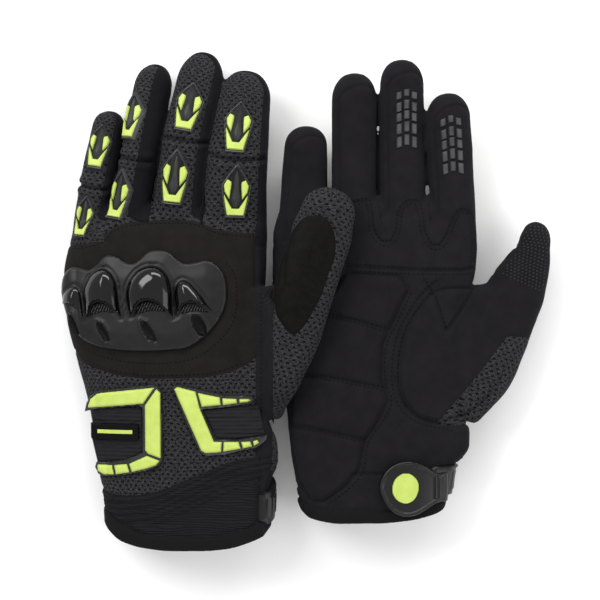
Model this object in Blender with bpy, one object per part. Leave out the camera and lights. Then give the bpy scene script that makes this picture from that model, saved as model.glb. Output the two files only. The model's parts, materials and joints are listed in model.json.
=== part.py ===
"""A pair of short riding gloves, laid side by side as they are shown for sale.

The left glove lies palm down with its back to the viewer, the right glove lies palm up, and
the left thumb rests over the outer edge of the right glove.  +Y runs to the fingertips, +X to
the right, +Z up, and the origin is the centre of the pair's footprint on the surface.
Each glove is an assembly: hand shells, two pieces for each finger, three for the thumb, the
moulded guards, the elastic cuff and the hook-and-loop wrist strap.  Sizes are in millimetres.
"""
import math
from collections import namedtuple

import bmesh
import bpy
from mathutils import Matrix, Vector

MM = 0.001

# Driving sizes.
WALL = 2.0                 # fabric with its lining
PIECE_GAP = 0.6            # between two sewn pieces that a joint separates
SEAM_GAP = 0.4             # between the back and the palm of the hand
GUARD_GAP = 0.6            # under a guard that lies on a curved surface
TUBE_SIDES = 12
HAND_ARC_STEPS = 10        # facets across the back, and across the palm
HAND_POWER = 2.6           # superellipse power of the hand's section
DIGIT_POWER = 2.3          # superellipse power of a finger's section
GUARD_THICKNESS = 2.2
PLATE_THICKNESS = 2.2
PAD_THICKNESS = 3.0
CUFF_GUARD_THICKNESS = 2.4
TAB_THICKNESS = 2.6
HOOK_THICKNESS = 1.0
STRAP_THICKNESS = 1.8

# One cross-section of the hand: y, the outer (little finger) edge, the inner edge, half depth.
Row = namedtuple("Row", "y outer inner depth")
# One cross-section of a digit: centre x and y, height, half width and half depth.
Spot = namedtuple("Spot", "x y h wide deep")
# A digit: its cross-sections, tip point, the y of its middle crease, and its roll in degrees.
Digit = namedtuple("Digit", "spots tip crease roll")
# A dome of the knuckle guard: centre, half length across and along, height.
Dome = namedtuple("Dome", "x y wide long height")


class Glove:
    """The measures of one glove.  back is +1 when its back faces up and -1 when it faces down."""

    def __init__(self, side, back, level, tilt, tilt_x, rows, hem_dip, digits, thumb):
        self.side = side
        self.back = back
        self.level = level
        self.tilt = tilt
        self.tilt_x = tilt_x
        self.rows = rows
        self.hem_dip = hem_dip
        self.digits = digits
        self.thumb = thumb

    def mid(self, x):
        """Height of the hand's middle surface, which slopes from edge to edge."""
        return self.level + self.tilt * (x - self.tilt_x)

    def row_at(self, y):
        """The hand's cross-section at y, between its stated rows."""
        rows = self.rows
        if y >= rows[0].y:
            return rows[0]._replace(y=y)
        for upper, lower in zip(rows, rows[1:]):
            if y >= lower.y:
                share = (upper.y - y) / (upper.y - lower.y)
                blend = [a + (b - a) * share for a, b in zip(upper, lower)]
                return Row(*blend)
        return rows[-1]._replace(y=y)

    def on_surface(self, x, y, face, lift):
        """A point of the hand's back (face +1) or palm (face -1), lifted off it."""
        row = self.row_at(y)
        centre = (row.outer + row.inner) / 2
        half = (row.inner - row.outer) / 2
        share = min(abs((x - centre) / half), 0.985)
        rise = row.depth * (1 - share ** HAND_POWER) ** (1 / HAND_POWER)
        return Vector((x, y, self.mid(x) + face * self.back * (rise + lift)))

    def around(self, y, turn, lift, dip=0.0):
        """A point of the hand's outline at y.  turn 0 is the inner edge and 90 the back."""
        row = self.row_at(y)
        half = (row.inner - row.outer) / 2 + lift
        across, rise = superellipse(half, row.depth + lift, turn, HAND_POWER)
        x = (row.outer + row.inner) / 2 + across
        shift = dip * (1 - (across / half) ** 2)
        return Vector((x, y - shift, self.mid(x) + self.back * rise))


def superellipse(wide, deep, turn, power):
    """A point of a superellipse at the angle turn, in degrees."""
    cos, sin = math.cos(math.radians(turn)), math.sin(math.radians(turn))
    across = math.copysign(abs(cos) ** (2 / power), cos) * wide
    rise = math.copysign(abs(sin) ** (2 / power), sin) * deep
    return across, rise


# ---------------------------------------------------------------- meshes

def add_object(name, verts, faces, material, origin=Vector(), parent=None):
    """Make one closed object whose origin is on its joint's axis."""
    mesh = bpy.data.meshes.new(name)
    mesh.from_pydata([(v - origin) * MM for v in verts], [], faces)
    work = bmesh.new()
    work.from_mesh(mesh)
    bmesh.ops.recalc_face_normals(work, faces=work.faces)
    work.to_mesh(mesh)
    work.free()
    mesh.materials.append(material)
    mesh.shade_smooth()
    mesh.set_sharp_from_angle(angle=math.radians(35))
    piece = bpy.data.objects.new(name, mesh)
    bpy.context.scene.collection.objects.link(piece)
    if parent:
        piece.parent = parent
    else:
        piece.location = origin * MM
    return piece


def wall_solid(outside, inside, closed_round, capped=False):
    """Vertices and faces of the wall between two grids of points.

    Each grid is a list of loops.  closed_round joins each loop's last point to its first, as
    in a tube.  capped closes the last loops, as at a fingertip.
    """
    rows, count = len(outside), len(outside[0])
    verts = [v for loop in outside for v in loop] + [v for loop in inside for v in loop]
    half = rows * count
    steps = count if closed_round else count - 1
    faces = []

    def corner(row, col, inner):
        return row * count + col % count + (half if inner else 0)

    for row in range(rows - 1):
        for col in range(steps):
            for inner in (False, True):
                faces.append([corner(row, col, inner), corner(row, col + 1, inner),
                              corner(row + 1, col + 1, inner), corner(row + 1, col, inner)])
        if not closed_round:
            for col in (0, count - 1):
                faces.append([corner(row, col, False), corner(row + 1, col, False),
                              corner(row + 1, col, True), corner(row, col, True)])
    for row in (0,) if capped else (0, rows - 1):
        for col in range(steps):
            faces.append([corner(row, col, False), corner(row, col + 1, False),
                          corner(row, col + 1, True), corner(row, col, True)])
    if capped:
        faces.append([corner(rows - 1, col, False) for col in range(count)])
        faces.append([corner(rows - 1, col, True) for col in range(count)])
    return verts, faces


# ---------------------------------------------------------------- digits

class DigitShape:
    """A finger or thumb as a smooth run of cross-sections along its own path."""

    def __init__(self, glove, digit, absolute=False):
        self.back = glove.back
        self.roll = digit.roll
        self.spots = digit.spots
        self.path = []
        for spot in digit.spots:
            height = spot.h if absolute else glove.mid(spot.x) + glove.back * spot.h
            self.path.append(Vector((spot.x, spot.y, height)))
        last = self.path[-1]
        tip_x, tip_y = digit.tip
        drop = (last - self.path[-2]).normalized()
        reach = math.hypot(tip_x - last.x, tip_y - last.y)
        self.tip = Vector((tip_x, tip_y, last.z + drop.z * reach))
        self.knots = [0.0]
        for a, b in zip(self.path, self.path[1:]):
            self.knots.append(self.knots[-1] + (b - a).length)
        self.length = self.knots[-1] + (self.tip - last).length

    def at_y(self, y):
        """How far along the path the height y is reached."""
        for i, (a, b) in enumerate(zip(self.path, self.path[1:])):
            if a.y <= y <= b.y:
                return self.knots[i] + (b - a).length * (y - a.y) / (b.y - a.y)
        return self.knots[-1]

    def section(self, along):
        """Centre, forward, sideways and upward vectors, half width and half depth."""
        points = self.path + [self.tip]
        knots = self.knots + [self.length]
        i = 0
        while i < len(points) - 2 and along > knots[i + 1]:
            i += 1
        share = (along - knots[i]) / (knots[i + 1] - knots[i])
        centre = points[i].lerp(points[i + 1], share)
        ahead = (points[i + 1] - points[i]).normalized()
        if share > 0.5 and i + 2 < len(points):
            after = (points[i + 2] - points[i + 1]).normalized()
            ahead = ahead.lerp(after, share - 0.5).normalized()
        if share < 0.5 and i > 0:
            before = (points[i] - points[i - 1]).normalized()
            ahead = before.lerp(ahead, share + 0.5).normalized()
        side = ahead.cross(Vector((0, 0, 1))).normalized()
        up = side.cross(ahead)
        turn = Matrix.Rotation(math.radians(self.roll * self.back), 3, ahead)
        side, up = turn @ side, turn @ up
        first = self.spots[min(i, len(self.spots) - 1)]
        second = self.spots[min(i + 1, len(self.spots) - 1)]
        wide = first.wide + (second.wide - first.wide) * share
        deep = first.deep + (second.deep - first.deep) * share
        if along > self.knots[-1]:
            cap = (along - self.knots[-1]) / (self.length - self.knots[-1])
            shrink = math.sqrt(max(1 - cap * cap, 0))
            wide, deep = self.spots[-1].wide * shrink, self.spots[-1].deep * shrink
        return centre, ahead, side, up, wide, deep

    def loop(self, along, inset):
        """A ring of points around the digit, set in from its outer surface."""
        centre, _, side, up, wide, deep = self.section(along)
        ring = []
        for step in range(TUBE_SIDES):
            turn = 360 * (step + 0.5) / TUBE_SIDES
            across, rise = superellipse(wide - inset, deep - inset, turn, DIGIT_POWER)
            ring.append(centre + side * across + up * rise)
        return ring

    def on_back(self, along, across, lift):
        """A point on the digit's back."""
        centre, _, side, up, wide, deep = self.section(along)
        share = min(abs(across / wide), 0.97)
        rise = deep * (1 - share ** DIGIT_POWER) ** (1 / DIGIT_POWER) + lift
        return centre + side * across + up * rise * self.back

    def palm_axis(self, along):
        """Where a hinge lies at along: a point level with the palm side, and the direction across."""
        centre, ahead, side, _, _, _ = self.section(along)
        level_side = Vector((side.x, side.y, 0)).normalized()
        palmward = ahead.cross(level_side) * self.back
        reach = max((point - centre).dot(palmward) for point in self.loop(along, 0))
        return centre + palmward * reach, level_side


def digit_tube(name, shape, start, end, material, origin, capped):
    """A hollow length of a digit; a capped one ends in a rounded fingertip."""
    if capped:
        dome = shape.length - shape.knots[-1]
        middle = shape.knots[-1] - start
        stops = [start, start + middle * 0.55, shape.knots[-1]]
        stops += [shape.knots[-1] + dome * share for share in (0.45, 0.75, 0.93)]
        outside = [shape.loop(stop, 0) for stop in stops]
        inside_stops = stops[:3] + [stop - WALL for stop in stops[3:]]
        inside = [shape.loop(stop, WALL) for stop in inside_stops]
        inside[-1] = [v.lerp(sum(inside[-1], Vector()) / TUBE_SIDES, 0.2) for v in inside[-1]]
    else:
        stops = [start + (end - start) * share for share in (0, 0.5, 1)]
        outside = [shape.loop(stop, 0) for stop in stops]
        inside = [shape.loop(stop, WALL) for stop in stops]
    verts, faces = wall_solid(outside, inside, True, capped)
    return add_object(name, verts, faces, material, origin)


def finger_guard(name, shape, middle, length, width, material, parent, origin):
    """A kite-shaped moulding on a finger's back, its point towards the fingertip."""
    outline = ((0.0, 0.56), (0.35, 0.86), (0.62, 1.0), (0.85, 0.5), (1.0, 0.12))
    columns = (-1, -0.5, 0, 0.5, 1)
    top, under = [], []
    for share, reach in outline:
        along = middle + (share - 0.5) * length
        across = [column * reach * width / 2 for column in columns]
        under.append([shape.on_back(along, x, GUARD_GAP) for x in across])
        crown = [GUARD_THICKNESS * (1 - 0.35 * abs(column)) for column in columns]
        top.append([shape.on_back(along, x, GUARD_GAP + rise) for x, rise in zip(across, crown)])
    verts, faces = wall_solid(top, under, False)
    return add_object(name, verts, faces, material, origin, parent)


# ---------------------------------------------------------------- hand and cuff

def hand_half(glove, name, face, start, end, material):
    """The back (face +1) or the palm (face -1) of the hand, a shell open towards the other."""
    stops = [row.y for row in glove.rows if end < row.y < start]
    stops = [start] + stops + [end]
    outside, inside = [], []
    for y in stops:
        row = glove.row_at(y)
        margin = math.degrees(SEAM_GAP / row.depth)
        turns = [face * (margin + (180 - 2 * margin) * step / HAND_ARC_STEPS)
                 for step in range(HAND_ARC_STEPS + 1)]
        outside.append([glove.around(y, turn, 0) for turn in turns])
        inside.append([glove.around(y, turn, -WALL) for turn in turns])
        for point in (outside[-1][0], outside[-1][-1], inside[-1][0], inside[-1][-1]):
            point.z = glove.mid(point.x) + face * glove.back * SEAM_GAP
    verts, faces = wall_solid(outside, inside, False)
    return add_object(name, verts, faces, material)


def cuff_ring(glove, name, start, end, lift, dip, material):
    """A closed band around the wrist; dip is how far its far edge bows towards the arm."""
    sides = 2 * HAND_ARC_STEPS
    outside, inside = [], []
    for y, bow in ((start, 0.0), (end, dip)):
        turns = [360 * (step + 0.5) / sides for step in range(sides)]
        outside.append([glove.around(y, turn, lift, bow) for turn in turns])
        inside.append([glove.around(y, turn, lift - WALL, bow) for turn in turns])
    verts, faces = wall_solid(outside, inside, True)
    return add_object(name, verts, faces, material)


def rested(point):
    """The point, flattened where it would go below the surface the pair lies on."""
    return Vector((point.x, point.y, max(point.z, 0.0)))


def surface_patch(glove, name, face, grid, gap, thickness, material, origin=Vector()):
    """A moulding or pad over the hand; grid holds rows of (x, y, extra height)."""
    top = [[rested(glove.on_surface(x, y, face, gap + thickness + extra))
            for x, y, extra in row] for row in grid]
    under = [[glove.on_surface(x, y, face, gap) for x, y, _ in row] for row in grid]
    verts, faces = wall_solid(top, under, False)
    return add_object(name, verts, faces, material, origin)


def between(knots, x):
    """Smooth curve through (x, y) knots."""
    for (x0, y0), (x1, y1) in zip(knots, knots[1:]):
        if x <= x1:
            share = (x - x0) / (x1 - x0)
            ease = share * share * (3 - 2 * share)
            return y0 + (y1 - y0) * ease
    return knots[-1][1]


def dome_height(domes, x, y):
    """Height of the knuckle domes over the plate: a steep front and a long slope behind."""
    best = 0.0
    for dome in domes:
        across = abs(x - dome.x) / dome.wide
        along = (y - dome.y) / dome.long
        reach = across * across + along * along
        if reach < 1:
            best = max(best, dome.height * (1 - reach) ** 0.6)
    return best


# The knuckle guard on the glove's own grid, measured from the hand's outer edge.
GUARD_FRONT = ((0, 4), (7, 15.5), (15, 14.5), (28, 22), (38, 18), (49, 24.5), (62, 17.5),
               (73, 19), (82.5, 3))
GUARD_REAR = ((0, -1), (8, -15), (20, -22.5), (42, -25), (60, -23.5), (72, -16), (82.5, -4))
GUARD_DOMES = (Dome(10, 2, 8, 11, 3.6), Dome(28, 5, 10, 13, 5.2), Dome(52, 6, 11.5, 14, 5.4),
               Dome(73, 1, 9.5, 11, 4.2))
GUARD_LENGTH = 82.5


def knuckle_guard(glove, outer_edge, material):
    """The hard plate over the knuckles, with its four domes in one moulding."""
    columns, lines = 24, 9
    grid = []
    for column in range(columns + 1):
        x = GUARD_LENGTH * column / columns
        front, rear = between(GUARD_FRONT, x), between(GUARD_REAR, x)
        line = []
        for step in range(lines + 1):
            y = rear + (front - rear) * step / lines
            edge = min(step, lines - step, column, columns - column)
            extra = dome_height(GUARD_DOMES, x, y) if edge else -0.6
            line.append((outer_edge + x, y, extra))
        grid.append(line)
    name = glove.side + "_knuckle_guard"
    return surface_patch(glove, name, 1, grid, GUARD_GAP, PLATE_THICKNESS, material)


def ribbon(path, widths):
    """A flat strip along a path, as rows of three points, with mitred corners."""
    rows = []
    for i, point in enumerate(path):
        before = path[i] - path[i - 1] if i else path[1] - path[0]
        after = path[i + 1] - path[i] if i + 1 < len(path) else before
        mean = (before.normalized() + after.normalized()).normalized()
        square = Vector((-mean.y, mean.x))
        mitre = 1 / max(square.dot(Vector((-after.y, after.x)).normalized()), 0.45)
        half = widths[i] / 2 * mitre
        rows.append([(*(point + square * half * reach), -0.5 * abs(reach)) for reach in (-1, 0, 1)])
    return rows


def refined(corners, widths, step=7.0):
    """The corners of a path with points added between them, and the widths there."""
    points, sizes = [], []
    for i, (a, b) in enumerate(zip(corners, corners[1:])):
        count = max(int((b - a).length / step), 1)
        for part in range(count):
            share = part / count
            points.append(a.lerp(b, share))
            sizes.append(widths[i] + (widths[i + 1] - widths[i]) * share)
    return points + [corners[-1]], sizes + [widths[-1]]


# The cuff guards' centre lines, from the hand's outer edge at the guard's own height.
OUTER_CUFF_GUARD = ((3.5, -50), (10, -48.5), (33, -46.5), (33, -78.5), (17, -82), (7.5, -82))
OUTER_CUFF_WIDTHS = (7, 8, 9, 9, 8, 6)
INNER_CUFF_GUARD = ((79, -48), (69, -48), (49, -47), (62, -71), (71, -71.5), (80, -68.5))
INNER_CUFF_WIDTHS = (3, 5, 8.5, 8, 6, 3)


def cuff_guard(glove, name, corners, widths, offset, material):
    """A bent bar over the wrist, following its corners."""
    path = [Vector((x + offset.x, y + offset.y)) for x, y in corners]
    grid = ribbon(*refined(path, widths))
    return surface_patch(glove, name, 1, grid, GUARD_GAP, CUFF_GUARD_THICKNESS, material)


def palm_pad(glove, offset, material):
    """The quilted pad along the outer palm."""
    outline = ((-82, 17, 33), (-70, 15, 46), (-48, 15, 53), (-20, 22, 53), (2, 25, 64), (12, 28, 63))
    columns = 6
    grid = []
    for y, outer, inner in outline:
        grid.append([(offset.x + outer + (inner - outer) * step / columns, y + offset.y, 0.0)
                     for step in range(columns + 1)])
    name = glove.side + "_palm_pad"
    return surface_patch(glove, name, -1, grid, GUARD_GAP, PAD_THICKNESS, material)


# ---------------------------------------------------------------- wrist strap

TAB_LENGTH = 30.0
TAB_HEAD = 12.5            # half height of the tab's round head
TAB_NECK = 6.5
TAB_GAP = 1.2              # between the tab's root and the strap that it is sewn to
STRAP_TURN = -52.0         # where the strap starts on the palm side, and ends on the back
STRAP_END_TURN = 62.0
STRAP_LIFT = GUARD_GAP + HOOK_THICKNESS + 0.4


def strap_tab(glove, root_x, centre_y, origin, material):
    """The moulded closing tab: a round head and a narrower neck that swings open."""
    shape = ((0.0, 5.0), (0.08, 9.5), (0.22, 12.2), (0.38, TAB_HEAD), (0.54, 11.4), (0.68, 8.2),
             (0.84, TAB_NECK), (1.0, TAB_NECK))
    grid = []
    for share, half in shape:
        x = root_x - TAB_LENGTH * (1 - share)
        grid.append([(x, centre_y + half * reach, 0.0) for reach in (-1, -0.5, 0, 0.5, 1)])
    name = glove.side + "_strap_tab"
    return surface_patch(glove, name, -1, grid, STRAP_LIFT, TAB_THICKNESS, material, origin)


def hook_patch(glove, root_x, centre_y, material):
    """The hook-and-loop patch that the tab closes on."""
    grid = []
    for share in (0.12, 0.35, 0.6, 0.85):
        x = root_x - TAB_LENGTH * (1 - share)
        grid.append([(x, centre_y + reach * 6.0, 0.0) for reach in (-1, 0, 1)])
    name = glove.side + "_hook_patch"
    return surface_patch(glove, name, -1, grid, GUARD_GAP, HOOK_THICKNESS, material)


def strap_anchor(glove, centre_y, material):
    """The strap's sewn part, from the tab's root around the inner edge to the back."""
    outside, inside = [], []
    for step in range(9):
        turn = STRAP_TURN + (STRAP_END_TURN - STRAP_TURN) * step / 8
        lifts = (GUARD_GAP + STRAP_THICKNESS, GUARD_GAP)
        for loops, lift in zip((outside, inside), lifts):
            loops.append([glove.around(centre_y + reach * TAB_NECK, turn, lift)
                          for reach in (-1, 0, 1)])
    verts, faces = wall_solid(outside, inside, False)
    return add_object(glove.side + "_strap_anchor", verts, faces, material)


# ---------------------------------------------------------------- the two gloves

# Fingers in order from the outer edge: little, ring, middle, index.
LEFT = Glove(
    side="left", back=1, level=18.1, tilt=0.13, tilt_x=-68.0,
    rows=[Row(31, -115.5, -18.5, 12.5), Row(12, -119, -19, 13.5), Row(-8, -118, -21.5, 14),
          Row(-30, -112.5, -22, 14), Row(-52, -106.5, -21, 14), Row(-78, -102.5, -18.5, 13.5),
          Row(-104, -98, -17, 13), Row(-113, -98, -18.5, 12.5)],
    hem_dip=8.5,
    digits={
        "little": Digit([Spot(-106.5, 33.8, -3.5, 8.4, 8.4), Spot(-101.5, 62, -2.5, 8.4, 8.2),
                         Spot(-97.5, 84.5, -6, 7.6, 7.4)], (-95.5, 94), 54.3, -18),
        "ring": Digit([Spot(-87.5, 35.2, -1.5, 9.4, 9.4), Spot(-80.8, 72, 0.5, 8.9, 9.2),
                       Spot(-75.5, 102, -3.5, 9.0, 8.6)], (-72.6, 116), 67.4, -14),
        "middle": Digit([Spot(-63, 35.2, -1, 12.0, 10), Spot(-58.8, 72.5, 1.5, 11.5, 9.8),
                         Spot(-52.5, 104, -3, 10.8, 9.0)], (-48.7, 121.5), 76.1, -5),
        "index": Digit([Spot(-33.5, 34, -1.5, 14.2, 10.2), Spot(-32, 66, 0.8, 13.6, 9.8),
                        Spot(-29.2, 96, -3.5, 11.6, 9.0)], (-28, 112), 66.9, 0)},
    thumb=Digit([Spot(-15.2, -50, 27.5, 5.6, 7.0), Spot(-11, -37, 35, 9.5, 8.5),
                 Spot(-6.5, -20, 38, 12.5, 9.2), Spot(0.5, 8, 41, 14.2, 9.5),
                 Spot(7.5, 30, 41.5, 14.6, 9.2), Spot(10.5, 40, 41.5, 12.4, 8.6)],
                (13.5, 53), 18.0, 0))
RIGHT = Glove(
    side="right", back=-1, level=20.9, tilt=0.07, tilt_x=33.0,
    rows=[Row(31, -15.8, 83.5, 12), Row(12, -16.2, 82.5, 12.5), Row(-8, -13.5, 75, 12.5),
          Row(-30, -11.5, 75, 13), Row(-52, -9.5, 75.5, 13), Row(-76, -6.8, 74.5, 12.5),
          Row(-96, -3.4, 68.5, 12), Row(-102, -1.5, 65, 11.5)],
    hem_dip=6.2,
    digits={
        "little": Digit([Spot(-1.5, 33.2, 0, 11.5, 9), Spot(-0.5, 57, 1, 11.2, 8.8),
                         Spot(0.3, 74, -3, 10, 7.8)], (0.5, 84.5), 55.3, 0),
        "ring": Digit([Spot(24, 33.2, 0, 11, 9.4), Spot(24, 70, 1.5, 11, 9),
                       Spot(23.8, 97, -3.5, 10.4, 8.2)], (23.5, 110), 72.3, 0),
        "middle": Digit([Spot(47.6, 33.2, 0, 11, 9.6), Spot(47.4, 74, 1.5, 11, 9.2),
                         Spot(47, 103, -3.5, 10.4, 8.4)], (47, 116.5), 74.7, 0),
        "index": Digit([Spot(72, 33.4, 0, 11, 9.4), Spot(71, 62, 1.5, 11, 9),
                        Spot(69.3, 87, -3.5, 10.3, 8.2)], (68.5, 100), 65.0, 0)},
    thumb=Digit([Spot(81, -54, 21, 5.0, 7.5), Spot(86, -39, 19.5, 9.5, 9.5),
                 Spot(91, -22, 18, 12.4, 10.6), Spot(98, 0, 17, 13, 10.4),
                 Spot(104.5, 15, 17.5, 12, 9.8), Spot(109.5, 27, 18, 10.4, 8.8)],
                (113.5, 38), 5.0, 0))

THUMB_HINGE = 1            # the thumb's lower hinge is at its second cross-section
# Finger guards: how far their middles lie from the crease, their lengths and their widths.
BASE_GUARD = {"little": (-12, 15.5, 9.5), "ring": (-17, 24, 10.5), "middle": (-17, 25, 14.5),
              "index": (-14.5, 25, 15)}
TIP_GUARD = {"little": (18.5, 21, 10.5), "ring": (20.5, 22, 11), "middle": (17, 24, 14.5),
             "index": (16, 24, 14.5)}
RIGHT_GUARD_SCALE = 0.92   # the right glove's fingers lie a little shorter


def build_finger(glove, key, digit, colours):
    """One finger: a lower and an upper tube, each with its guard."""
    shape = DigitShape(glove, digit)
    crease = shape.at_y(digit.crease)
    name = f"{glove.side}_{key}_"
    knuckle, _ = shape.palm_axis(0.0)
    bend, _ = shape.palm_axis(crease)
    lower = digit_tube(name + "base", shape, 0, crease - PIECE_GAP / 2, colours["mesh"], knuckle,
                       False)
    upper = digit_tube(name + "tip", shape, crease + PIECE_GAP / 2, shape.length, colours["mesh"],
                       bend, True)
    scale = 1.0 if glove.side == "left" else RIGHT_GUARD_SCALE
    for part, parent, origin, table in (("base", lower, knuckle, BASE_GUARD),
                                        ("tip", upper, bend, TIP_GUARD)):
        reach, length, width = table[key]
        finger_guard(f"{name}{part}_guard", shape, crease + reach * scale, length * scale, width,
                     colours["guard"], parent, origin)


def build_thumb(glove, colours):
    """The thumb: a sewn-in gusset, a lower tube that lifts and an upper tube that bends."""
    shape = DigitShape(glove, glove.thumb, absolute=True)
    hinge = shape.knots[THUMB_HINGE]
    crease = shape.at_y(glove.thumb.crease)
    hinge_centre, _, _, hinge_up, _, hinge_deep = shape.section(hinge)
    lift_point = hinge_centre + hinge_up * hinge_deep
    bend_centre, _, bend_side, bend_up, bend_wide, bend_deep = shape.section(crease)
    if glove.side == "left":
        bend_point = bend_centre - bend_side * bend_wide
    else:
        bend_point = bend_centre + bend_up * bend_deep
    digit_tube(glove.side + "_thumb_gusset", shape, 0, hinge - PIECE_GAP / 2, colours["suede"],
               Vector(), False)
    digit_tube(glove.side + "_thumb_base", shape, hinge + PIECE_GAP / 2, crease - PIECE_GAP / 2,
               colours["suede"], lift_point, False)
    digit_tube(glove.side + "_thumb_tip", shape, crease + PIECE_GAP / 2, shape.length,
               colours["suede"], bend_point, True)


def build_glove(glove, colours):
    """All the pieces of one glove."""
    side = glove.side
    rows = glove.rows
    front, wrist, hem, end = rows[0].y, rows[-3].y, rows[-2].y, rows[-1].y
    hand_half(glove, side + "_hand_back", 1, front, wrist + PIECE_GAP, colours["mesh"])
    hand_half(glove, side + "_hand_palm", -1, front, wrist + PIECE_GAP, colours["suede"])
    cuff_ring(glove, side + "_cuff_band", wrist, hem + PIECE_GAP, 0.0, 0.0, colours["elastic"])
    cuff_ring(glove, side + "_cuff_hem", hem, end, 0.0, glove.hem_dip, colours["binding"])
    for key, digit in glove.digits.items():
        build_finger(glove, key, digit, colours)
    build_thumb(glove, colours)
    knuckle_guard(glove, rows[1].outer + 1.0, colours["guard"])
    wrist_shift = Vector((rows[4].outer, 0))
    cuff_guard(glove, side + "_cuff_guard_outer", OUTER_CUFF_GUARD, OUTER_CUFF_WIDTHS,
               wrist_shift, colours["lime"])
    cuff_guard(glove, side + "_cuff_guard_inner", INNER_CUFF_GUARD, INNER_CUFF_WIDTHS,
               wrist_shift, colours["lime"])
    palm_pad(glove, Vector((rows[4].outer - 2, 0)), colours["suede"])
    strap_y = (wrist + hem) / 2 - 1.5
    root_x = min(glove.around(strap_y + reach * TAB_NECK, STRAP_TURN, GUARD_GAP).x
                 for reach in (-1, 1)) - TAB_GAP
    hinge = glove.on_surface(root_x, strap_y, -1, STRAP_LIFT + TAB_THICKNESS)
    strap_tab(glove, root_x, strap_y, hinge, colours["guard"])
    hook_patch(glove, root_x, strap_y, colours["elastic"])
    strap_anchor(glove, strap_y, colours["elastic"])


def principled(name, colour, roughness):
    """A plain material of one colour."""
    material = bpy.data.materials.new(name)
    material.use_nodes = True
    shader = material.node_tree.nodes["Principled BSDF"]
    shader.inputs["Base Color"].default_value = (*colour, 1.0)
    shader.inputs["Roughness"].default_value = roughness
    return material


def make_colours():
    """The pair's materials by use."""
    return {
        "mesh": principled("air_mesh", (0.018, 0.018, 0.019), 0.85),
        "suede": principled("suede", (0.022, 0.020, 0.022), 0.9),
        "elastic": principled("elastic", (0.015, 0.015, 0.016), 0.75),
        "binding": principled("binding", (0.012, 0.012, 0.013), 0.8),
        "guard": principled("guard_rubber", (0.035, 0.035, 0.037), 0.45),
        "lime": principled("lime_rubber", (0.56, 0.86, 0.08), 0.5),
    }


def stand_on_origin():
    """Move the pair so that the centre of its footprint is the origin."""
    bpy.context.view_layer.update()
    pieces = [piece for piece in bpy.data.objects if piece.type == "MESH"]
    corners = [piece.matrix_world @ v.co for piece in pieces for v in piece.data.vertices]
    low = Vector([min(corner[i] for corner in corners) for i in range(3)])
    high = Vector([max(corner[i] for corner in corners) for i in range(3)])
    shift = Vector(((low.x + high.x) / 2, (low.y + high.y) / 2, low.z))
    for piece in pieces:
        if not piece.parent:
            piece.location -= shift
    bpy.context.view_layer.update()


def main():
    for old in list(bpy.data.objects):
        bpy.data.objects.remove(old)
    colours = make_colours()
    for glove in (LEFT, RIGHT):
        build_glove(glove, colours)
    stand_on_origin()


main()
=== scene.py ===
"""The looks of a pair of riding gloves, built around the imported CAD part.

Each glove's outer skin is grown as one smooth surface around the frame's sections, then cut along
its seam lines into fabric panels.  Mouldings, pads, tiles and stitches are laid on that skin.
Sizes are in millimetres, in the row frame: +X right, +Y to the fingertips, +Z up.
"""

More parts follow.
